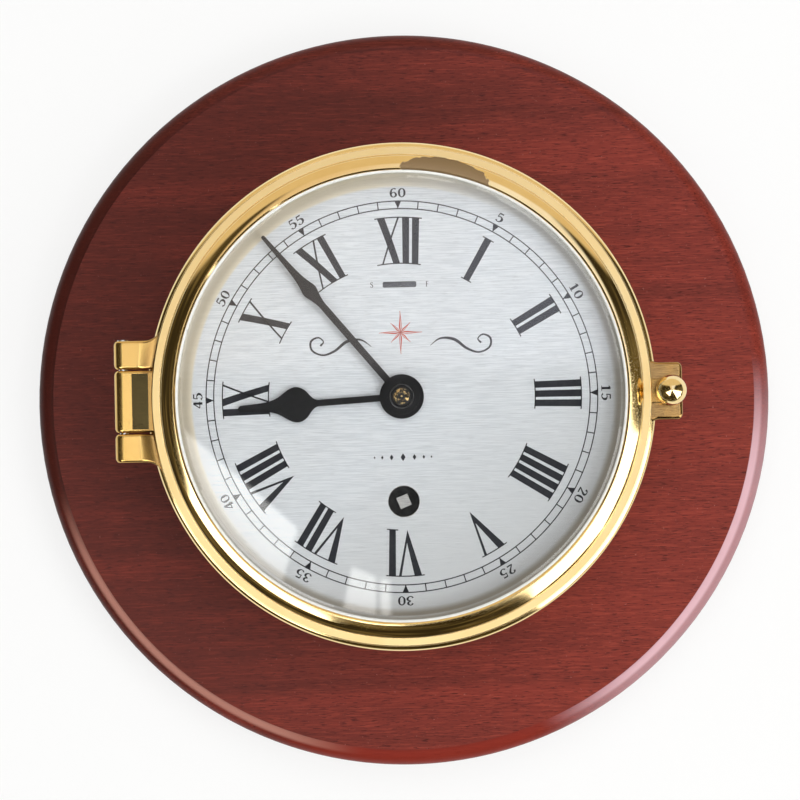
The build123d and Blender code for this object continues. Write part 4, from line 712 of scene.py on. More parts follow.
def run_tree(mesh, rule, values):
    """The plain mesh that a node tree makes from a starting mesh."""
    tree, keys = rule
    holder = bring_in("holder", mesh)
    modifier = holder.modifiers.new("shape", "NODES")
    modifier.node_group = tree
    for label, value in values.items():
        modifier[keys[label]] = value
    return applied(holder)


def turned(name, outline, body, finish, axis=(0, 0), steps=256):
    """A lathe piece from an outline of (radius, out) points in millimetres."""
    drawn = bpy.data.meshes.new(name + "_outline")
    drawn.from_pydata([(radius * MM, -out * MM, 0) for radius, out in outline], [], [])
    values = {"Steps": steps, "Axis": spot(*axis, 0), "Finish": FINISHES[finish]}
    return place_piece(name, run_tree(drawn, LATHE, values), body, finish)


print("helpers to settle and place pieces are ready")

# %% [markdown]
# ## Outlines with soft corners
#
# A real polished edge is never sharp, and its thin highlight is what makes it look like metal.
# So the corners of an outline are rounded before it is turned. A Bevel would do the same to a
# finished mesh, but here each corner keeps its own radius.

# %% Outlines
SUPPORT, EDGE = 0.04, 0.25


def soften(corners, steps=6, support=0.0):
    """Rounds the corners of a closed outline; each corner is (x, y, rounding).

    A support is a point just beyond each rounding, which keeps the flat beside it flat.
    """
    outline = []
    for index, (x, y, rounding) in enumerate(corners):
        corner = Vector((x, y))
        if rounding == 0:
            outline.append(corner)
            continue
        before = (Vector(corners[index - 1][:2]) - corner).normalized()
        after = (Vector(corners[(index + 1) % len(corners)][:2]) - corner).normalized()
        half = before.angle(after) / 2
        centre = corner + (before + after).normalized() * rounding / math.sin(half)
        start = corner + before * rounding / math.tan(half) - centre
        turn = start.angle_signed(corner + after * rounding / math.tan(half) - centre)
        if support:
            outline.append(centre + start + before * support)
        for step in range(steps + 1):
            angle = -turn * step / steps
            outline.append(centre + Vector((start.x * math.cos(angle) - start.y * math.sin(angle),
                                            start.x * math.sin(angle) + start.y * math.cos(angle))))
        if support:
            outline.append(outline[-1] + after * support)
    return outline


def arc(centre, radii, start, end, steps):
    """Points of a round or oval arc; an angle of 0 lies along the second direction."""
    points = []
    for step in range(steps + 1):
        angle = start + (end - start) * step / steps
        points.append((centre[0] + radii[0] * math.sin(angle), centre[1] + radii[1] * math.cos(angle)))
    return points


def washer(inner, outer, low, high, rounding=0):
    """The outline of a flat ring, with its two front corners rounded."""
    return soften(((inner, low, 0), (outer, low, 0), (outer, high, rounding), (inner, high, rounding)))


print("a soft corner takes", len(soften(((0, 0, 0), (1, 0, EDGE), (1, 1, 0)))) - 2, "points")

# %% [markdown]
# ## The case drum
#
# The case is a spun brass drum with a flat floor. Near its front the wall slopes out to a
# thicker rounded rim, which the bezel shuts against. The outline runs up the outside, over
# the rim, down the bore and across the floor.

# %% Case drum
RIM_RADIUS, BOARD_FACE = reach("case_shell"), front("backboard")
CASE_BORE, CASE_WALL, CASE_FLOOR, CASE_FRONT = 68.5, 2.5, 2.5, 62.0
RIM_DEPTH, RIM_ROUNDING = 8.0, 1.8
SLOPE_FOOT, SLOPE_HEAD, FLOOR_CORNER, DRUM_STEPS = 1.2, 1.5, 1.0, 8
drum_radius = CASE_BORE + CASE_WALL
rim_back = CASE_FRONT - RIM_DEPTH
slope = RIM_RADIUS - drum_radius
floor_out = BOARD_FACE + CASE_FLOOR
drum = soften((
    (0, BOARD_FACE, 0), (drum_radius, BOARD_FACE, EDGE),
    (drum_radius, rim_back - slope, SLOPE_FOOT), (RIM_RADIUS, rim_back, SLOPE_HEAD),
    (RIM_RADIUS, CASE_FRONT, RIM_ROUNDING), (CASE_BORE, CASE_FRONT, EDGE),
    (CASE_BORE, floor_out, FLOOR_CORNER), (0, floor_out, 0)), DRUM_STEPS, SUPPORT)
case_drum = turned("case_drum", drum, "clock_body", "polished_brass")
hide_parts("case_shell")
print("case drum:", len(case_drum.data.polygons), "faces")

# %% [markdown]
# ## The bezel ring
#
# Seen from the front the bezel is a narrow flat, then an ovolo that swells up toward the
# glass, then a small lip that turns down on to it. A spigot behind it drops into the case
# bore. The ovolo is a circular arc, given many points so that its reflection stays smooth.

# %% Bezel ring
BEZEL_RADIUS, GLASS_RADIUS = reach("bezel"), reach("glass")
BEZEL_FLAT, BEZEL_STEP, OVOLO_WIDTH, OVOLO_ROUND, LIP = 2.4, 3.5, 4.0, 5.2, 0.8
BEZEL_GAP, SPIGOT_RADIUS, SPIGOT_BACK = 0.2, 68.1, 60.2
BACK_CORNER, FLAT_CORNER, LIP_CORNER, LIP_LAP, OVOLO_STEPS = 0.15, 0.3, 0.3, 0.4, 24
BEZEL_BACK = CASE_FRONT + BEZEL_GAP
flat_out = BEZEL_BACK + BEZEL_STEP
foot_radius = BEZEL_RADIUS - BEZEL_FLAT
crest_radius = foot_radius - OVOLO_WIDTH
arc_centre = flat_out - math.sqrt(OVOLO_ROUND ** 2 - OVOLO_WIDTH ** 2)
crest_out = arc_centre + OVOLO_ROUND
foot_angle = math.asin(OVOLO_WIDTH / OVOLO_ROUND)
opening = crest_radius - LIP
glass_front = front("glass")
lip_low = glass_front - LIP_LAP
outer_edge = soften(((BEZEL_RADIUS, BEZEL_BACK, BACK_CORNER), (BEZEL_RADIUS, flat_out, FLAT_CORNER),
                     (foot_radius, flat_out, 0)), support=SUPPORT)
ovolo = arc((crest_radius, arc_centre), (OVOLO_ROUND, OVOLO_ROUND), foot_angle, 0.0, OVOLO_STEPS)
lip = soften(((opening, lip_low, 0), (opening, crest_out - LIP, LIP_CORNER), (crest_radius, crest_out, 0)))
# The lip is drawn upward, so it is turned round; points that two stretches share are left out once.
bezel_outline = [(SPIGOT_RADIUS, SPIGOT_BACK), (SPIGOT_RADIUS, BEZEL_BACK)]
bezel_outline += outer_edge[:-1] + ovolo + lip[-2::-1]
bezel_outline += [(GLASS_RADIUS, lip_low), (GLASS_RADIUS, SPIGOT_BACK)]
bezel_ring = turned("bezel_ring", bezel_outline, "bezel_frame", "polished_brass",
                    steps=384)
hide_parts("bezel")
print("bezel ring:", len(bezel_ring.data.polygons), "faces, crest at", round(crest_out, 2))

# %% [markdown]
# ## Sealing bead
#
# The glass is bedded under the lip in pale sealing compound, and a thin bead of it shows as
# a white line all round; the bead is also a painted highlight, white where the glass bevel
# shines. It is a small quarter round between the lip and the glass.

# %% Sealing bead
BEAD_WIDTH, BEAD_HEIGHT, BEAD_SINK, BEAD_STEPS = 0.52, 0.5, 0.03, 8
bead_low = glass_front - BEAD_SINK
bead = [(opening + EDGE, bead_low), (opening + EDGE, bead_low + BEAD_HEIGHT)]
bead += arc((opening, bead_low), (-BEAD_WIDTH, BEAD_HEIGHT), 0.0, math.pi / 2, BEAD_STEPS)
# Painted highlight: the pale bead stands for the bright reflection in the glass bevel.
sealing_bead_highlight = turned("sealing_bead_highlight", bead[::-1], "bezel_frame", "pale_compound")
print("sealing bead:", len(sealing_bead_highlight.data.polygons), "faces")

# %% [markdown]
# ## Lofts and holes
#
# The lugs and tongues of the case are not turned. Each is a loft: a row of rounded sections
# from its outer end to the ring that it grows from. A loft keeps every edge rounded, which a
# bevel on a cut-out shape would struggle with where the metal flares. Holes and sunk panels
# are then cut out with a Boolean.

# %% A loft of rounded sections
CORNER_STEPS, MOST_CORNER = 5, 0.45


def section(across, up_low, up_high, out_low, out_high, corner):
    """One rounded section of a loft that runs across the dial."""
    tall, deep = up_high - up_low, out_high - out_low
    corner = min(corner, MOST_CORNER * tall, MOST_CORNER * deep)
    beside = min(SUPPORT, (tall - 2 * corner) / 4, (deep - 2 * corner) / 4)
    low_up, high_up = up_low + corner, up_high - corner
    low_out, high_out = out_low + corner, out_high - corner
    loop = []
    for up, out, start in ((high_up, high_out, 0), (low_up, high_out, 90),
                           (low_up, low_out, 180), (high_up, low_out, 270)):
        turns = [math.radians(start + 90 * step / CORNER_STEPS) for step in range(CORNER_STEPS + 1)]
        edge = [Vector((up + corner * math.cos(turn), out + corner * math.sin(turn))) for turn in turns]
        along = Vector((-math.sin(turns[0]), math.cos(turns[0]))) * beside
        onward = Vector((-math.sin(turns[-1]), math.cos(turns[-1]))) * beside
        loop += [spot(across, *point) for point in (edge[0] - along, *edge, edge[-1] + onward)]
    return loop


def plain_mesh(name, points, faces):
    """A settled mesh from its points and faces."""
    mesh = bpy.data.meshes.new(name)
    mesh.from_pydata(points, [], faces)
    return settle(mesh)


def skinned(name, loops):
    """A closed mesh through a row of loops that have the same number of points."""
    size = len(loops[0])
    faces = [tuple(range(size)), tuple(range((len(loops) - 1) * size, len(loops) * size))]
    for row in range(len(loops) - 1):
        for point in range(size):
            beside = (point + 1) % size
            faces.append((row * size + point, row * size + beside,
                          (row + 1) * size + beside, (row + 1) * size + point))
    return plain_mesh(name, [point for loop in loops for point in loop], faces)


def lofted(name, stations):
    """A closed mesh through a row of sections."""
    return skinned(name, [section(*station) for station in stations])


def cut(mesh, tool):
    """Takes the shape of one mesh out of another."""
    kept, cutter = bring_in("kept", mesh), bring_in("cutter", tool)
    modifier = kept.modifiers.new("cut", "BOOLEAN")
    modifier.operation = "DIFFERENCE"
    modifier.solver = "EXACT"
    modifier.object = cutter
    made = applied(kept)
    bpy.data.objects.remove(cutter)
    return made


print("loft sections have", 4 * (CORNER_STEPS + 3), "points")

# %% [markdown]
# ## Knuckles
#
# The bezel turns on a pin through three knuckles at the left: two lugs grow from the case
# rim and a leaf between them from the bezel. A knuckle is round at its outer end, and its arm
# runs in to the ring. One function makes all three, so that they line up on the pin.

# %% Knuckles
hinge_across, _, hinge_out = middle("hinge_pin")
KNUCKLE = hinge_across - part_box("case_shell")[0].x / MM
LUG_EDGE, LUG_CORNER, LUG_FLARE, COVE_LENGTH = 0.75, 1.4, 2.6, 3.6
END_STEPS, ARM_STEPS, KNUCKLE_SWING = 14, 32, math.radians(85)


def rounding(distance, radius):
    """How far a rounded corner has drawn in, at a distance from the end of the piece."""
    if distance >= radius:
        return 0.0
    return radius - math.sqrt(radius ** 2 - (radius - distance) ** 2)


def knuckle(name, up_low, up_high, arm_floor, inner, cove=0.0, flare_low=0.0, flare_high=0.0):
    """A round-ended knuckle whose arm runs in to the ring, falling in a cove just before it."""
    stations = arc((hinge_across, 0), (-KNUCKLE, KNUCKLE), KNUCKLE_SWING, 0.0, END_STEPS)
    for step in range(1, ARM_STEPS + 1):
        stations.append((hinge_across + (inner - hinge_across) * step / ARM_STEPS, KNUCKLE))
    end = hinge_across - KNUCKLE
    sections = []
    for across, half in stations:
        draw = rounding(across - end, LUG_CORNER)
        beyond = across - hinge_across
        drop = math.sqrt(max(KNUCKLE ** 2 - beyond ** 2, 0.0))
        low = hinge_out - half if beyond <= 0 else min(arm_floor, hinge_out - drop)
        grow = rounding(inner - across, LUG_FLARE)
        fall = max(0.0, 1 - (inner - across) / COVE_LENGTH)
        high = hinge_out + half - cove * fall ** 2 * (3 - 2 * fall)
        sections.append((across, up_low + draw - grow * flare_low, up_high - draw + grow * flare_high,
                         low, high, LUG_EDGE))
    return lofted(name, sections)


print("hinge axis at", round(hinge_across, 2), "mm across, knuckle radius", round(KNUCKLE, 2))

# %% [markdown]
# ## Hinge lugs
#
# The two lugs flare where they leave the rim, and fall in a cove just before the bezel so that
# it can swing past them. A straight loft would leave a gap to the round rim, so its inner end
# is bent to follow the ring.

# %% Hinge lugs
LEAF_HALF, LUG_LENGTH, KNUCKLE_GAP, LUG_CLEARANCE, COVE_DEPTH = 8.9, 8.2, 0.35, 0.45, 1.2


def follow_ring(mesh, ring):
    """Bends the inner end of an arm round the ring that it grows from."""
    for vertex in mesh.vertices:
        share = min(max((vertex.co.x / MM - hinge_across) / (-ring - hinge_across), 0.0), 1.0)
        vertex.co.x += share ** 2 * (ring - math.sqrt(ring ** 2 - (vertex.co.z / MM) ** 2)) * MM
    mesh.update()


lug_low = LEAF_HALF + KNUCKLE_GAP
lug_floor = hinge_out - KNUCKLE
lug_ring = BEZEL_RADIUS + LUG_CLEARANCE
for name, side in (("upper_hinge_lug", 1), ("lower_hinge_lug", -1)):
    up_low, up_high = sorted((side * lug_low, side * (lug_low + LUG_LENGTH)))
    mesh = knuckle(name, up_low, up_high, lug_floor, -lug_ring, COVE_DEPTH,
                   flare_low=float(side < 0), flare_high=float(side > 0))
    follow_ring(mesh, lug_ring)
    lug = place_piece(name, mesh, "clock_body", "satin_brass")
    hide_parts("case_shell")
    print(name, len(mesh.polygons), "faces")

# %% [markdown]
# ## Bezel leaf
#
# The leaf is the middle knuckle. Its arm lies over the rim and joins the bezel, and its front
# has a shallow sunk panel with a darkened floor. The panel is cut with a Boolean, and the
# faces that lie at its depth take the dark finish.

# %% Bezel leaf
LEAF_LIFT, LEAF_STOP, LEAF_MARGIN, LEAF_SINK = 0.7, 0.6, 0.9, 0.4
OVERRUN, FLOOR_TOLERANCE = 1.0, 0.02
leaf_mesh = knuckle("bezel_leaf", -LEAF_HALF, LEAF_HALF, CASE_FRONT + LEAF_LIFT, -(foot_radius + LEAF_STOP))
panel_half = LEAF_HALF - LEAF_MARGIN
leaf_top = hinge_out + KNUCKLE
panel_floor = leaf_top - LEAF_SINK
panel = lofted("panel", [(across, -panel_half, panel_half, panel_floor, leaf_top + OVERRUN, 0.0)
                         for across in (hinge_across + KNUCKLE, -(BEZEL_RADIUS + LEAF_MARGIN))])
leaf = place_piece("bezel_leaf", cut(leaf_mesh, panel), "bezel_frame", "satin_brass")
leaf.data.materials.append(FINISHES["darkened_brass"])
for face in leaf.data.polygons:
    sunk = abs(-face.center.y / MM - panel_floor) < FLOOR_TOLERANCE
    face.material_index = int(sunk)
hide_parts("bezel")
print("bezel leaf", len(leaf.data.polygons), "faces")

# %% [markdown]
# ## Latch lug
#
# At the right a square lug on the rim carries the hole for the closing screw. It is a loft
# again: it flares where it leaves the rim, and its outer corners and its end are rounded. The
# hole is drilled with a plain cylinder and a Boolean.

# %% Latch lug
screw_across = middle("closing_screw")[0]
latch_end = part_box("case_shell")[1].x / MM
SHANK, LUG_HOLE_PLAY, DRILL_SIDES = 2.0, 0.1, 48
LATCH_HALF, LATCH_DEPTH, LATCH_CORNER, LATCH_EDGE = 8.25, 10.0, 1.6, 0.9
LATCH_ROOT, FLARE_ROOT, LATCH_FLARE, FLARE_SHARE, LATCH_STEPS = 3.0, 1.0, 1.6, 0.4, 12
LATCH_SWING = math.radians(88)


def drill(radius, low, high):
    """A plain cylinder along the closing screw, a little too long, used to cut its holes."""
    turns = [math.tau * side / DRILL_SIDES for side in range(DRILL_SIDES)]
    return skinned("drill", [
        [spot(screw_across + radius * math.cos(turn), radius * math.sin(turn), out) for turn in turns]
        for out in (low - OVERRUN, high + OVERRUN)])


latch_back = CASE_FRONT - LATCH_DEPTH
latch_root, latch_turn = RIM_RADIUS - LATCH_ROOT, latch_end - LATCH_CORNER
stations = []
for step in range(LATCH_STEPS + 1):
    across = latch_root + (latch_turn - latch_root) * step / LATCH_STEPS
    grow = rounding(max(across - (RIM_RADIUS - FLARE_ROOT), 0.0), LATCH_FLARE)
    half = LATCH_HALF + grow * FLARE_SHARE
    stations.append((across, -half, half, latch_back, CASE_FRONT, LATCH_EDGE))
for across, corner in arc((latch_turn, 0), (LATCH_CORNER, LATCH_CORNER), 0.0, LATCH_SWING, END_STEPS)[1:]:
    half = LATCH_HALF - LATCH_CORNER + corner
    tip = rounding(latch_end - across, LATCH_EDGE)
    stations.append((across, -half, half, latch_back + tip, CASE_FRONT - tip, LATCH_EDGE))
latch_mesh = cut(lofted("latch_lug", stations), drill(SHANK + LUG_HOLE_PLAY, latch_back, CASE_FRONT))
latch_lug = place_piece("latch_lug", latch_mesh, "clock_body", "dull_brass")
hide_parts("case_shell")
print("latch lug:", len(latch_mesh.polygons), "faces")

# %% [markdown]
# ## Bezel tongue
#
# A tongue on the bezel lies over the latch lug and ends in a half round about its hole. Its
# sections are all the same height, so only their widths follow the arc.

# %% Bezel tongue
TONGUE_HALF, TONGUE_TOP, TONGUE_ROOT, TONGUE_EDGE, TONGUE_HOLE_PLAY = 3.5, 64.7, 0.8, 0.4, 0.15
tongue_line = [(foot_radius - TONGUE_ROOT, TONGUE_HALF)]
tongue_line += arc((screw_across, 0), (TONGUE_HALF, TONGUE_HALF), 0.0, LATCH_SWING, END_STEPS)
tongue_mesh = lofted("bezel_tongue", [(across, -half, half, BEZEL_BACK, TONGUE_TOP, TONGUE_EDGE)
                                      for across, half in tongue_line])
tongue_mesh = cut(tongue_mesh, drill(SHANK + TONGUE_HOLE_PLAY, BEZEL_BACK, TONGUE_TOP))
tongue = place_piece("bezel_tongue", tongue_mesh, "bezel_frame", "satin_brass")
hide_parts("bezel")
print("bezel tongue:", len(tongue_mesh.polygons), "faces")

# %% [markdown]
# ## Closing screw
#
# The closing screw passes through the tongue into the lug; its head is a plain polished ball,
# large enough to turn with two fingers. It is lathe work, with a groove for the clip that
# keeps it in the tongue and a small collar under the ball.

# %% Closing screw
screw_low, screw_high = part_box("closing_screw")
BALL = (screw_high.x - screw_low.x) / 2 / MM
COLLAR, COLLAR_HEIGHT, GROOVE_FLOOR, SCREW_PLAY = 3.0, 0.9, 1.6, 0.05
TIP_CHAMFER, COLLAR_CHAMFER, BALL_LAP, BALL_STEPS = 0.4, 0.2, 0.3, 40
screw_tip, ball_top = back("closing_screw"), front("closing_screw")
collar_low = TONGUE_TOP + SCREW_PLAY
clip_low, clip_high = back("screw_clip") - SCREW_PLAY, front("screw_clip") + SCREW_PLAY
screw = [(0, screw_tip), (SHANK - TIP_CHAMFER, screw_tip), (SHANK, screw_tip + TIP_CHAMFER),
         (SHANK, clip_low), (GROOVE_FLOOR, clip_low), (GROOVE_FLOOR, clip_high), (SHANK, clip_high),
         (SHANK, collar_low), (COLLAR - COLLAR_CHAMFER, collar_low), (COLLAR, collar_low + COLLAR_CHAMFER),
         (COLLAR, collar_low + COLLAR_HEIGHT - COLLAR_CHAMFER)]
meets = math.asin((COLLAR - BALL_LAP) / BALL)
screw += arc((0, ball_top - BALL), (BALL, BALL), math.pi - meets, 0.0, BALL_STEPS)
closing_screw = turned("closing_screw_ball", screw, "closing_screw", "polished_brass",
                       axis=(screw_across, 0), steps=96)
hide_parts("closing_screw")
print("closing screw:", len(closing_screw.data.polygons), "faces, ball radius", round(BALL, 2))

# %% [markdown]
# ## Printing the dial: circles of the minute track
#
# A dial is printed from an engraved plate, so all its marks are flat ink of one thickness.
# The minute track is two fine circles with a tick for each minute and a small triangle at
# each hour. The circles are lathe work again, only very thin.

# %% Track circles
DIAL_FACE, INK, INK_SINK = front("dial"), 0.03, 0.005
TRACK_OUTER, TRACK_INNER, TRACK_LINE = 56.5, 54.3, 0.32
ink_low, ink_high = DIAL_FACE - INK_SINK, DIAL_FACE + INK
for name, radius in (("track_outer_line", TRACK_OUTER), ("track_inner_line", TRACK_INNER)):
    circle = washer(radius - TRACK_LINE / 2, radius + TRACK_LINE / 2, ink_low, ink_high)
    turned(name, circle, "clock_body", "charcoal_ink", steps=360)
print("track circles from", TRACK_INNER, "to", TRACK_OUTER, "mm")

# %% [markdown]
# ## Printing the dial: ticks and triangles
#
# The sixty ticks and twelve triangles follow one rule, a point on a circle turned to face the
# centre. A loop could place them one by one, but a Geometry Nodes tree states the rule, and its
# named inputs hold the sizes.

# %% Ticks and triangles
MINUTES, HOUR_BASE = 60, 1.9


def track_tree():
    """A tick at every minute and a triangle at every fifth, all turned to the centre."""
    sizes = ("Outer", "Inner", "Line", "Hour Base", "Ink", "Height")
    wire, given, keys = start_tree("minute_track", {
        "Minutes": "Int", **{label: "Float" for label in sizes}, "Finish": "Material"})
    index = wire.shape("InputIndex")
    angle = wire.times(wire.calc("DIVIDE", index, given["Minutes"]), math.tau)
    facing = wire.vector(z=wire.times(angle, -1.0))
    length = wire.minus(given["Outer"], given["Inner"])

    def points_at(radius):
        across = wire.times(radius, wire.calc("SINE", angle))
        up = wire.times(radius, wire.calc("COSINE", angle))
        place = wire.vector(across, up, given["Height"])
        return wire.shape("Points", Count=given["Minutes"], Position=place)

    tick = wire.shape("MeshCube", Size=wire.vector(given["Line"], length, given["Ink"]))
    halfway = wire.calc("DIVIDE", wire.plus(given["Outer"], given["Inner"]), 2.0)
    ticks = wire.shape("InstanceOnPoints", Points=points_at(halfway), Instance=tick, Rotation=facing)
    prism = wire.shape("MeshCylinder", Vertices=3, Radius=1.0, Depth=given["Ink"])
    apex_in = wire.shape("Transform", Geometry=prism, Rotation=Euler((0, 0, -math.pi / 2)))
    # A three-sided prism of radius 1 is the root of 3 wide and 1.5 long, a third of it past its middle.
    stretch = wire.vector(wire.calc("DIVIDE", given["Hour Base"], math.sqrt(3)),
                          wire.calc("DIVIDE", length, 1.5), 1.0)
    wedge = wire.shape("Transform", Geometry=apex_in, Scale=stretch)
    wedge_middle = wire.minus(given["Outer"], wire.calc("DIVIDE", length, 3.0))
    fifth = wire.calc("LESS_THAN", wire.calc("MODULO", index, 5.0), 0.5)
    wedges = wire.shape("InstanceOnPoints", Points=points_at(wedge_middle), Instance=wedge, Rotation=facing,
                        Selection=fifth)
    both = wire.add("GeometryNodeJoinGeometry")
    for marks in (ticks, wedges):
        wire.put(both.inputs[0], marks)
    upright = wire.shape("Transform", Geometry=both.outputs[0], Rotation=Euler((math.pi / 2, 0, 0)))
    end_tree(wire, upright, given["Finish"])
    return wire.tree, keys


track_values = {"Minutes": MINUTES, "Outer": TRACK_OUTER * MM, "Inner": TRACK_INNER * MM,
                "Line": TRACK_LINE * MM, "Hour Base": HOUR_BASE * MM, "Ink": (ink_high - ink_low) * MM,
                "Height": (ink_low + ink_high) / 2 * MM, "Finish": FINISHES["charcoal_ink"]}
track = run_tree(bpy.data.meshes.new("empty"), track_tree(), track_values)
place_piece("minute_track", track, "clock_body", "charcoal_ink")
print("minute track:", len(track.polygons), "faces")

# %% [markdown]
# ## Printing the dial: strokes of ink
#
# Every printed figure is a set of strokes, each with a left and a right edge. A straight
# stroke needs only its ends, and a curved one is a smooth line through a few points with a
# width at each, like a broad pen. All the strokes of one kind become one thin mesh.

# %% Strokes of ink
def pen(points, steps):
    """Edges of a pen stroke through (x, y, width) points, smooth where it has more than two."""
    steps = steps if len(points) > 2 else 1
    knots = [points[0], *points, points[-1]]
    line = []
    for first, second, third, fourth in zip(knots, knots[1:], knots[2:], knots[3:]):
        for step in range(steps):
            t = step / steps
            line.append([0.5 * (2 * b + (c - a) * t + (2 * a - 5 * b + 4 * c - d) * t ** 2
                                + (3 * b - a - 3 * c + d) * t ** 3)
                         for a, b, c, d in zip(first, second, third, fourth)])
    line.append(list(points[-1]))
    left, right = [], []
    for index, (x, y, width) in enumerate(line):
        ahead, behind = line[min(index + 1, len(line) - 1)], line[max(index - 1, 0)]
        along = Vector((ahead[0] - behind[0], ahead[1] - behind[1])).normalized()
        side = Vector((-along.y, along.x)) * width / 2
        left.append(Vector((x, y)) + side)
        right.append(Vector((x, y)) - side)
    return left, right


def straight(start, end, width, steps):
    """Edges of a straight stroke whose ends are cut level."""
    half = Vector((width / 2, 0))
    line = [Vector(start).lerp(Vector(end), step / steps) for step in range(steps + 1)]
    return [point - half for point in line], [point + half for point in line]


def print_ink(name, strokes, finish):
    """One thin mesh of all the strokes, on the face of the dial."""
    vertices, faces = [], []
    for left, right in strokes:
        base, size = len(vertices), 2 * len(left)
        for out in (ink_low, ink_high):
            for first, second in zip(left, right):
                vertices += [spot(first.x, first.y, out), spot(second.x, second.y, out)]
        for step in range(len(left) - 1):
            a, b, c, d = (base + 2 * step + offset for offset in (0, 1, 3, 2))
            faces += [(a, b, c, d), (d + size, c + size, b + size, a + size)]
            faces += [(a, d, d + size, a + size), (b + size, c + size, c, b)]
        last = base + size - 2
        faces += [(base, base + size, base + size + 1, base + 1),
                  (last + 1, last + 1 + size, last + size, last)]
    return place_piece(name, plain_mesh(name, vertices, faces), "clock_body", finish)


def moved(strokes, change):
    """The same strokes with every point sent through a function."""
    return [([change(p) for p in left], [change(p) for p in right]) for left, right in strokes]


def turn_clockwise(point, degrees):
    """A point on the dial turned clockwise about the centre."""
    angle = math.radians(degrees)
    return Vector((point.x * math.cos(angle) + point.y * math.sin(angle),
                   point.y * math.cos(angle) - point.x * math.sin(angle)))


print("stroke helpers ready")

# %% [markdown]
# ## Roman hours
#
# The hour numerals stand on the dial with their feet to the centre. Thick and thin strokes
# alternate, and a hairline arc closes the top and the foot of each numeral. The strokes are
# drawn upright, then bent so that both ends lie on circles round the centre.

# %% Roman hours
NUMERAL_FOOT, NUMERAL_HEAD, NUMERAL_FLARE = 38.5, 51.8, 0.09
THICK, THIN, HAIRLINE, LETTER_GAP, SWELL, THIN_SWELL = 1.95, 0.52, 0.33, 0.82, 0.1, 0.2
V_WIDTH, V_POINT, V_FORK_ACROSS, V_FORK = 6.4, 3.75, 3.95, 0.28
X_WIDTH, X_LEAN = 6.1, 0.95
SERIF_REACH, STROKE_STEPS, ARC_POINTS = 0.75, 8, 10
HOUR_DEGREES = 30


def letter(sign, start):
    """Strokes of one letter from its left edge, in millimetres across and shares of the height."""
    if sign == "I":
        return [straight((start + THICK / 2, 0), (start + THICK / 2, 1), THICK, STROKE_STEPS)], THICK
    if sign == "V":
        point, fork = Vector((start + V_POINT, 0)), Vector((start + V_FORK_ACROSS, V_FORK))
        left = ([point, Vector((start, 1))], [fork, Vector((start + THICK + SWELL, 1))])
        right = ([fork, Vector((start + V_WIDTH - THIN - THIN_SWELL, 1))],
                 [point, Vector((start + V_WIDTH, 1))])
        return [left, right], V_WIDTH
    foot, head = start + X_WIDTH - THICK / 2, start + THICK / 2
    thick = straight((foot, 0), (head, 1), THICK + SWELL, STROKE_STEPS)
    thin = straight((start + X_LEAN, 0), (start + X_WIDTH - THIN / 2, 1), THIN, STROKE_STEPS)
    return [thick, thin], X_WIDTH


def numeral(word):
    """A whole numeral, centred, with its hairlines."""
    strokes, start, feet = [], 0.0, []
    for sign in word:
        drawn, width = letter(sign, start)
        strokes += drawn
        if sign != "V":
            feet.append((start, start + width))
        start += width + LETTER_GAP
    total = start - LETTER_GAP
    half = HAIRLINE / (NUMERAL_HEAD - NUMERAL_FOOT) / 2
    spans = [(-SERIF_REACH, total + SERIF_REACH, 1.0)]
    if feet:
        spans.append((feet[0][0] - SERIF_REACH, feet[-1][1] + SERIF_REACH, 0.0))
    for low, high, level in spans:
        line = [low + (high - low) * step / ARC_POINTS for step in range(ARC_POINTS + 1)]
        strokes.append(([Vector((u, level + half)) for u in line], [Vector((u, level - half)) for u in line]))
    return moved(strokes, lambda p: Vector((p.x - total / 2, p.y)))


def bend_to_hour(hour):
    """A function that bends an upright numeral round the centre and turns it to its hour."""
    def bend(p):
        radius = NUMERAL_FOOT + p.y * (NUMERAL_HEAD - NUMERAL_FOOT)
        across = p.x * (1 + NUMERAL_FLARE * (p.y - 0.5))
        return turn_clockwise(Vector((across, math.sqrt(radius ** 2 - across ** 2))), HOUR_DEGREES * hour)
    return bend


HOURS = ("XII", "I", "II", "III", "IIII", "V", "VI", "VII", "VIII", "IX", "X", "XI")
hour_strokes = []
for hour, word in enumerate(HOURS):
    hour_strokes += moved(numeral(word), bend_to_hour(hour))
print_ink("roman_hours", hour_strokes, "charcoal_ink")
print("roman hours:", len(hour_strokes), "strokes")

# %% [markdown]
# ## Minute figures
#
# Outside the track every fifth minute has its number in small seriffed figures. Each figure
# is a few pen strokes in a box one unit high. At this size only the change from thick to
# thin and the height matter, so a handful of points per stroke is enough.

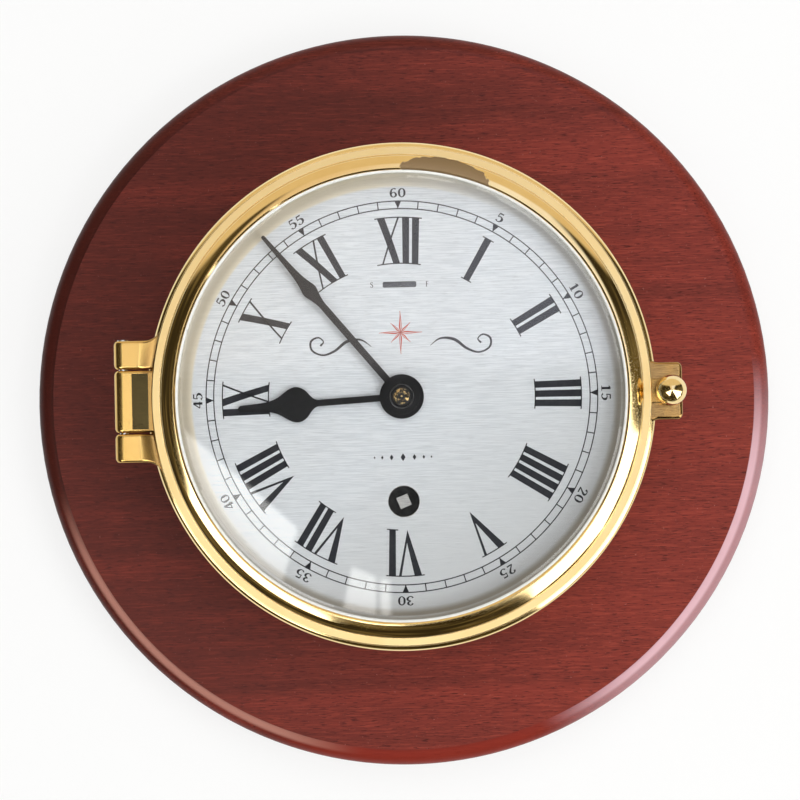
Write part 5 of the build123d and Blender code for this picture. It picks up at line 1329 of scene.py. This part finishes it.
# %% Minute figures
FIGURES = {
    "0": [((0.28, 0.98, 0.07), (0.10, 0.80, 0.11), (0.06, 0.50, 0.14), (0.10, 0.20, 0.11), (0.28, 0.02, 0.07),
           (0.46, 0.20, 0.11), (0.50, 0.50, 0.14), (0.46, 0.80, 0.11), (0.28, 0.98, 0.07))],
    "1": [((0.28, 1.00, 0.15), (0.28, 0.00, 0.15)), ((0.08, 0.80, 0.06), (0.26, 0.98, 0.08)),
          ((0.07, 0.03, 0.06), (0.49, 0.03, 0.06))],
    "2": [((0.08, 0.72, 0.14), (0.12, 0.90, 0.10), (0.28, 0.98, 0.08), (0.46, 0.86, 0.13), (0.45, 0.68, 0.14),
           (0.28, 0.38, 0.10), (0.06, 0.06, 0.06)), ((0.05, 0.06, 0.11), (0.51, 0.06, 0.12))],
    "3": [((0.08, 0.78, 0.13), (0.14, 0.93, 0.09), (0.28, 0.98, 0.08), (0.44, 0.86, 0.13), (0.42, 0.66, 0.12),
           (0.22, 0.53, 0.06)), ((0.22, 0.53, 0.06), (0.46, 0.42, 0.13), (0.49, 0.24, 0.14),
                                 (0.34, 0.04, 0.08), (0.16, 0.03, 0.08), (0.06, 0.18, 0.13))],
    "4": [((0.37, 1.00, 0.07), (0.03, 0.30, 0.07)), ((0.03, 0.29, 0.08), (0.55, 0.29, 0.08)),
          ((0.40, 1.00, 0.15), (0.40, 0.00, 0.15))],
    "5": [((0.12, 0.95, 0.11), (0.47, 0.95, 0.11)), ((0.13, 0.98, 0.06), (0.10, 0.52, 0.06)),
          ((0.10, 0.54, 0.06), (0.28, 0.62, 0.08), (0.46, 0.50, 0.14), (0.48, 0.26, 0.14), (0.32, 0.04, 0.08),
           (0.14, 0.04, 0.08), (0.05, 0.17, 0.13))],
    "6": [((0.46, 0.88, 0.12), (0.34, 0.98, 0.07), (0.14, 0.82, 0.10), (0.07, 0.46, 0.14), (0.12, 0.14, 0.11),
           (0.28, 0.02, 0.07), (0.46, 0.14, 0.12), (0.48, 0.36, 0.13), (0.32, 0.56, 0.07),
           (0.10, 0.40, 0.06))],
}
FIGURE_HEIGHT, FIGURE_MIDDLE, FIGURE_PITCH, FIGURE_WIDTH = 2.62, 58.9, 0.68, 0.56
FIGURE_WEIGHT, FIGURE_STRETCH, FIGURE_STEPS, MINUTE_DEGREES = 1.25, 1.36, 4, 360 / MINUTES


def set_at_minute(minute, shift):
    """A function that sizes a figure, sets it outside the track and turns it to its minute."""
    def set_point(p):
        across = (p.x + shift) * FIGURE_HEIGHT * FIGURE_STRETCH
        up = FIGURE_MIDDLE + (p.y - 0.5) * FIGURE_HEIGHT
        return turn_clockwise(Vector((across, up)), MINUTE_DEGREES * minute)
    return set_point


minute_strokes = []
for minute in range(5, MINUTES + 1, 5):
    word = str(minute)
    word_width = FIGURE_PITCH * (len(word) - 1) + FIGURE_WIDTH
    for place, sign in enumerate(word):
        bold = [[(x, y, width * FIGURE_WEIGHT) for x, y, width in points] for points in FIGURES[sign]]
        drawn = [pen(points, FIGURE_STEPS) for points in bold]
        minute_strokes += moved(drawn, set_at_minute(minute, FIGURE_PITCH * place - word_width / 2))
print_ink("minute_figures", minute_strokes, "charcoal_ink")
print("minute figures:", len(minute_strokes), "strokes")

# %% [markdown]
# ## Ornament
#
# The middle of the dial carries a plain engraver's ornament: a small red compass star above
# the hands, a pair of scrolls and a row of lozenges. Each point of the star is drawn once,
# upright, as a shaded half and a thin far edge, and turned to its place.

# %% Compass star
STAR_UP, STAR_LONG, STAR_SHORT, STAR_POINTS = 18.5, 6.2, 3.9, 8
STAR_WAIST, SHORT_WAIST, WAIST_LIFT, STAR_LINE, STAR_TIP = 1.15, 0.8, 0.45, 0.16, 0.02
star_turn = 360 / STAR_POINTS
star = []
for point in range(STAR_POINTS):
    length, waist = (STAR_LONG, STAR_WAIST) if point % 2 == 0 else (STAR_SHORT, STAR_WAIST * SHORT_WAIST)
    bend = turn_clockwise(Vector((0, waist)), -star_turn / 2) + Vector((0, WAIST_LIFT))
    middle_line = [Vector((0, 0)), Vector((0, length / 2)), Vector((0, length))]
    side_line = [Vector((0, 0)), bend, Vector((-STAR_TIP, length))]
    far_line = [Vector((-p.x, p.y)) for p in side_line]
    outer_line = [Vector((-p.x - STAR_LINE, p.y)) for p in side_line]
    star += moved([(middle_line, side_line), (far_line, outer_line)],
                  lambda p: turn_clockwise(p, star_turn * point) + Vector((0, STAR_UP)))
print_ink("compass_star", star, "red_ink")
print("compass star:", len(star), "strokes")

# %% [markdown]
# ## Scrolls and lozenges
#
# Each scroll is a single pen stroke, and each lozenge is a pair of bent edges. Only the right
# half is written down, and the left is its mirror.

# %% Scrolls and lozenges
SCROLL = ((8.5, 14.6, 0.15), (11.5, 16.6, 0.5), (15.5, 16.2, 0.85), (19.0, 13.6, 0.7), (22.5, 12.4, 0.5),
          (25.6, 13.8, 0.55), (25.9, 16.4, 0.6), (23.8, 17.5, 0.45), (22.3, 16.3, 0.35), (23.2, 15.1, 0.6))
LOZENGES = ((0.0, 2.3), (3.3, 1.7), (6.0, 1.2), (8.2, 0.8))
LOZENGE_UP, LOZENGE_SLIM, SCROLL_STEPS = -17.5, 0.62, 8
plain = []
for side in (-1, 1):
    plain.append(pen([(side * x, y, width) for x, y, width in SCROLL], SCROLL_STEPS))
    for across, size in LOZENGES[1 if side < 0 else 0:]:
        centre = Vector((side * across, LOZENGE_UP))
        corner, top = Vector((size * LOZENGE_SLIM / 2, 0)), Vector((0, size / 2))
        plain.append(([centre - top, centre - corner, centre + top],
                      [centre - top, centre + corner, centre + top]))
print_ink("scrolls_and_lozenges", plain, "charcoal_ink")
print("scrolls and lozenges:", len(plain), "strokes")

# %% [markdown]
# ## Regulator letters
#
# Beside the regulator slot a small S and F show which way the index makes the clock go slow or
# fast. They are pen strokes in a box one unit high, as the minute figures are.

# %% Regulator letters
SLOT_UP, LETTER_REACH, LETTER_HEIGHT, LETTER_STEPS = 32.4, 8.0, 1.55, 5
LETTER_MIDDLE = Vector((0.28, 0.5))
S_SHAPE = [((0.46, 0.80, 0.12), (0.40, 0.94, 0.08), (0.26, 0.98, 0.08), (0.09, 0.86, 0.12),
            (0.12, 0.64, 0.15), (0.40, 0.42, 0.16), (0.46, 0.18, 0.13), (0.28, 0.02, 0.08),
            (0.10, 0.08, 0.08), (0.05, 0.24, 0.12))]
F_SHAPE = [((0.15, 1.0, 0.15), (0.15, 0.0, 0.15)), ((0.06, 0.96, 0.09), (0.52, 0.96, 0.09)),
           ((0.15, 0.52, 0.09), (0.42, 0.52, 0.09)), ((0.04, 0.03, 0.06), (0.28, 0.03, 0.06))]
regulator = []
for across, letter_shape in ((-LETTER_REACH, S_SHAPE), (LETTER_REACH, F_SHAPE)):
    drawn = [pen(points, LETTER_STEPS) for points in letter_shape]
    regulator += moved(drawn, lambda p: Vector((across, SLOT_UP)) + (p - LETTER_MIDDLE) * LETTER_HEIGHT)
print_ink("regulator_letters", regulator, "charcoal_ink")
print("regulator letters:", len(regulator), "strokes")

# %% [markdown]
# ## Winding hole
#
# A thin bright bush is let into the dial round the winding hole, so that the key does not
# scratch the silvering. It is one more turned ring, flush with the face but for a hair. Behind
# it a blackened well and a washer on the square hide the ratchet; they are painted shade, black
# where the inside of the hole is dark.

# %% Winding hole bush
DIAL_BACK = back("dial")
HOLE_RADIUS, BUSH_WALL, BUSH_STAND, BUSH_CORNER = 4.6, 0.16, 0.10, 0.08
WELL_WALL, WELL_FLOOR, WELL_LIFT, ARBOR_CLEAR = 0.4, 0.5, 0.3, 2.5
WASHER_RADIUS, WASHER_LOW, WASHER_HIGH = 3.6, 0.04, 0.2
hole_up = middle("winding_arbor")[1]
ratchet_front = front("ratchet_wheel")
bush = washer(HOLE_RADIUS - BUSH_WALL, HOLE_RADIUS, DIAL_BACK, DIAL_FACE + BUSH_STAND, BUSH_CORNER)
turned("winding_bush", bush, "clock_body", "steel", axis=(0, hole_up), steps=96)
# The well and the washer are painted shade: black pieces that keep the hole dark.
well_low, well_radius = ratchet_front + WELL_LIFT, HOLE_RADIUS + WELL_WALL
well = ((ARBOR_CLEAR, well_low), (well_radius, well_low), (well_radius, DIAL_BACK), (HOLE_RADIUS, DIAL_BACK),
        (HOLE_RADIUS, well_low + WELL_FLOOR), (ARBOR_CLEAR, well_low + WELL_FLOOR))
turned("winding_well", well, "clock_body", "lamp_black", axis=(0, hole_up), steps=72)
disc = washer(0, WASHER_RADIUS, ratchet_front + WASHER_LOW, ratchet_front + WASHER_HIGH)
turned("winding_washer", disc, "winding_set", "lamp_black", axis=(0, hole_up), steps=48)
print("winding bush at", round(hole_up, 2), "mm up")

# %% [markdown]
# ## Shade behind the regulator slot
#
# Behind the slow and fast slot a blackened strip is painted shade: it stands for the dark inside
# of the movement, which is why the slot looks black. It is a shallow channel: a floor under the
# regulator's arm and two ends that rise to the back of the dial.

# %% Slot shade
SHADE_HALF, SHADE_LOW, SHADE_HIGH, SHADE_WALL, SHADE_DROP, SHADE_EDGE = 7.5, 30.0, 35.2, 0.4, 0.9, 0.1
shade_floor = back("regulator_index") - SHADE_DROP
shade_parts = ((-SHADE_HALF, SHADE_HALF, shade_floor + SHADE_WALL),
               (-SHADE_HALF, -SHADE_HALF + SHADE_WALL, DIAL_BACK),
               (SHADE_HALF - SHADE_WALL, SHADE_HALF, DIAL_BACK))
shade = bmesh.new()
for left, right, top in shade_parts:
    shade.from_mesh(lofted("shade_part", [(across, SHADE_LOW, SHADE_HIGH, shade_floor, top, SHADE_EDGE)
                                          for across in (left, right)]))
shade_mesh = bpy.data.meshes.new("slot_shade")
shade.to_mesh(shade_mesh)
shade.free()
place_piece("slot_shade", settle(shade_mesh), "clock_body", "blackened_steel")
print("slot shade:", len(shade_mesh.polygons), "faces")

# %% [markdown]
# ## Nut on the hands
#
# The hands are held by a small domed nut. Its black finish is rubbed through to brass on the
# high ring, and the very middle is a dark polished dimple with one bright point. A rounded
# collar on the minute hand catches a thin line of light round it.

# %% Nut on the hands
# The dome's corners: radius, height above the arbor's tip, and rounding.
NUT_DOME = ((2.1, 0.12, 0.15), (1.35, 0.30, 0.1), (1.05, 0.08, 0.1), (0.5, 0.08, 0.08), (0.28, 0.28, 0.1),
            (0, 0.32, 0))
NUT_WALL, NUT_SHOULDER = 0.9, 0.25
COLLAR_OUTER, COLLAR_INNER, COLLAR_SINK, COLLAR_STAND, COLLAR_ROUND = 3.62, 3.1, 0.3, 0.14, 0.12
nut_low, nut_radius, tip_out = back("hand_nut"), reach("hand_nut"), front("centre_pinion")
nut = soften(((0, nut_low, 0), (nut_radius, nut_low, 0), (nut_radius, nut_low + NUT_WALL, NUT_SHOULDER),
              *((radius, tip_out + height, corner) for radius, height, corner in NUT_DOME)))
domed_nut = turned("domed_nut", nut, "minute_hand_set", "worn_black_brass", steps=96)
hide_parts("hand_nut")
collar = washer(COLLAR_INNER, COLLAR_OUTER, nut_low - COLLAR_SINK, nut_low + COLLAR_STAND, COLLAR_ROUND)
turned("hand_collar", collar, "minute_hand_set", "polished_black", steps=96)
print("domed nut:", len(domed_nut.data.polygons), "faces")

# %% [markdown]
# ## Backdrop
#
# The clock lies against a plain white wall. The wall is white to the camera and to mirrors,
# and still takes a little real light, so that the clock's soft shadow shows. Seen from
# behind it is clear, so that the back of the board can be looked at.

# %% Wall and floor
WALL_GAP, STAGE_HALF, FLOOR_DROP, OWN_WHITE = 1.0, 2500.0, 700.0, 0.8


def backdrop_finish():
    """White to the camera and to mirrors, lit for its shadow, clear from behind."""
    finish = bpy.data.materials.new("white_backdrop")
    finish.use_nodes = True
    wire = Wiring(finish.node_tree)
    path = wire.add("ShaderNodeLightPath").outputs
    mirrored = wire.calc("MAXIMUM", path["Is Glossy Ray"], path["Is Transmission Ray"])
    seen = wire.calc("MAXIMUM", path["Is Camera Ray"], mirrored)
    lit = wire.add("ShaderNodeBsdfDiffuse", {"Color": (0.86, 0.86, 0.85)}).outputs[0]
    white = wire.add("ShaderNodeEmission", {"Color": (0.985, 0.985, 0.98), "Strength": 1.0}).outputs[0]
    from_behind = wire.add("ShaderNodeNewGeometry").outputs["Backfacing"]
    clear = wire.add("ShaderNodeBsdfTransparent").outputs[0]
    shown = wire.blend(from_behind, wire.blend(wire.times(seen, OWN_WHITE), lit, white), clear)
    wire.put(finish.node_tree.nodes["Material Output"].inputs["Surface"], shown)
    return finish


white_backdrop = backdrop_finish()


def stage_sheet(name, corners):
    """A flat sheet of the stage."""
    mesh = bpy.data.meshes.new(name)
    mesh.from_pydata([spot(*corner) for corner in corners], [], [(0, 1, 2, 3)])
    mesh.materials.append(white_backdrop)
    sheet = bring_in(name, mesh)
    return sheet


low_left, low_right = (-STAGE_HALF, -FLOOR_DROP), (STAGE_HALF, -FLOOR_DROP)
stage_sheet("wall", ((*low_left, -WALL_GAP), (*low_right, -WALL_GAP),
                     (STAGE_HALF, STAGE_HALF, -WALL_GAP), (-STAGE_HALF, STAGE_HALF, -WALL_GAP)))
floor = stage_sheet("floor", ((*low_left, STAGE_HALF), (*low_right, STAGE_HALF),
                              (*low_right, -WALL_GAP), (*low_left, -WALL_GAP)))
floor.visible_glossy = False
print("stage: wall and floor")

# %% [markdown]
# ## What the brass sees
#
# Polished brass is only as good as the room it reflects. Here the room is a world made by
# direction: pale round the camera, dark to the sides, with a bright window low on the right,
# smaller panes low on the left and a warm ceiling. Other surfaces get one plain grey from it.

# %% Room
# Pairs are parts of a direction: where something starts to show and where it is full.
ROOM_DARK, ROOM_DIM = (0.035, 0.027, 0.014), (0.17, 0.135, 0.075)
ROOM_PLAIN, ROOM_WHITE = (0.42, 0.42, 0.42), (0.96, 0.96, 0.955)
WARM_WALL, COOL_WALL, WALL_TURNS = (0.88, 0.74, 0.60), (1.02, 1.04, 1.20), (-0.09, 0.06)
WALL_LEFT, WALL_RIGHT, WALL_LOW = (-0.17, -0.10), (0.13, 0.25), (-0.10, -0.05)
LEFT_LEAN, RIGHT_LEAN, AHEAD = 0.28, 0.50, (-0.02, 0.02)
CEILING, CEILING_RISE, WINDOW = (0.80, 0.66, 0.46), (0.46, 0.60), (3.7, 3.65, 3.55)
CAMERA_DARK, CAMERA_TOWARD = (0.05, 0.05, 0.053), (-0.0112, 0.0195)
CAMERA_SPAN, CAMERA_TOP = (0.064, 0.071), (0.023, 0.033)
PANES = (
    ((0.13, 0.02), (0.985, -0.155), (0.83, -0.56), (0.53, -0.85), (0.08, -0.13)),
    ((-0.0434, -0.020), (-0.266, -0.73), (-0.72, -0.30), (-0.0883, 0.0206)),
    ((-0.0273, -0.0318), (-0.0200, -0.0350), (-0.0230, -0.20), (-0.065, -0.20)),
    ((-0.0188, -0.0356), (-0.0158, -0.0360), (-0.0160, -0.20), (-0.0215, -0.20)),
)
PANE_EDGE = 0.0012


def pane_mask(wire, across, up, corners):
    """A window seen in the room, by direction across and up; its corners run clockwise."""
    sides = []
    for first, second in zip(corners, corners[1:] + corners[:1]):
        along = (Vector(second) - Vector(first)).normalized()
        inward = wire.plus(wire.times(wire.minus(across, first[0]), along.y),
                           wire.times(wire.minus(up, first[1]), -along.x))
        sides.append(wire.ramp(inward, -PANE_EDGE, PANE_EDGE))
    return wire.times(*sides)


def room_world():
    """A world coloured by direction for mirrors, plain for other surfaces, white to the camera."""
    world = bpy.data.worlds.new("room")
    bpy.context.scene.world = world
    world.use_nodes = True
    world.node_tree.nodes.clear()
    wire = Wiring(world.node_tree)
    toward = wire.add("ShaderNodeTexCoord").outputs["Generated"]
    look = wire.parts(toward)
    across, up = look["X"], look["Z"]
    ahead = wire.ramp(look["Y"], *AHEAD, 1.0, 0.0)
    above = wire.calc("MAXIMUM", up, 0.0)
    past_left = wire.plus(across, wire.times(above, LEFT_LEAN))
    past_right = wire.minus(across, wire.times(above, RIGHT_LEAN))
    wall = wire.times(wire.ramp(past_left, *WALL_LEFT), wire.ramp(past_right, *WALL_RIGHT, 1.0, 0.0),
                      wire.ramp(up, *WALL_LOW), ahead)
    front_wall = wire.tint(wire.ramp(across, *WALL_TURNS), WARM_WALL, COOL_WALL)
    furniture = wire.ramp(wire.noise(toward, 3.2, 2.0), 0.42, 0.68)
    apart = wire.length(wire.minus(across, CAMERA_TOWARD[0]), wire.minus(up, CAMERA_TOWARD[1]))
    camera_mask = wire.times(wire.ramp(apart, *CAMERA_SPAN, 1.0, 0.0), ahead,
                             wire.ramp(up, *CAMERA_TOP, 1.0, 0.0))
    panes = [(wire.times(pane_mask(wire, across, up, corners), ahead), WINDOW) for corners in PANES]
    colour = wire.over(wire.tint(furniture, ROOM_DARK, ROOM_DIM), (wall, front_wall),
                       (wire.ramp(up, *CEILING_RISE), CEILING), (camera_mask, CAMERA_DARK), *panes)
    path = wire.add("ShaderNodeLightPath").outputs
    mirrored = wire.calc("MAXIMUM", path["Is Glossy Ray"], path["Is Transmission Ray"])
    colour = wire.tint(path["Is Camera Ray"], wire.tint(mirrored, ROOM_PLAIN, colour), ROOM_WHITE)
    shine = wire.add("ShaderNodeBackground", {"Color": colour, "Strength": 1.0})
    wire.put(wire.add("ShaderNodeOutputWorld").inputs["Surface"], shine.outputs[0])


room_world()
print("windows in the room:", len(PANES))

# %% [markdown]
# ## Lamps
#
# Large soft lamps give the plain light level on the board and the dial. They are aimed at the
# dial, and hidden from mirrors so that only the room shows in the brass.

# %% Lamps
# Each lamp: its name, its place in millimetres, its size in metres and its watts.
LAMPS = (("front_soft", (200, 450, 1600), 1.4, 14.0), ("window_right", (800, -400, 1250), 0.7, 8.0))
for name, place, size, watts in LAMPS:
    data = bpy.data.lights.new(name, "AREA")
    data.size = size
    data.energy = watts
    lamp = bring_in(name, data)
    lamp.location = spot(*place)
    lamp.rotation_euler = (-lamp.location).to_track_quat("-Z", "Y").to_euler()
    lamp.visible_glossy = False
    lamp.visible_transmission = False
print("lamps:", len(LAMPS))

# %% [markdown]
# ## Camera
#
# The photograph was taken from about a metre in front, a little below and to the right of
# the dial, with a long lens, and the clock was lying a degree off level. The same view keeps
# the ball, the lugs and the edge of the board in the same places.

# %% Camera
CAMERA_PLACE, CAMERA_AIM, CAMERA_ROLL = (10.6, -18.4, 1009.0), (-1.1, -0.1, 9.0), 1.2
LENS, SENSOR = 148.5, 36.0
camera_data = bpy.data.cameras.new("camera")
camera_data.lens = LENS
camera_data.sensor_width = SENSOR
camera = bring_in("camera", camera_data)
camera.location = spot(*CAMERA_PLACE)
facing = (spot(*CAMERA_AIM) - spot(*CAMERA_PLACE)).to_track_quat("-Z", "Y")
camera.rotation_mode = "QUATERNION"
camera.rotation_quaternion = facing @ Euler((0, 0, -math.radians(CAMERA_ROLL))).to_quaternion()
bpy.context.scene.camera = camera
bpy.context.scene.view_settings.view_transform = "Standard"
print("camera at", [round(v, 3) for v in camera.location])
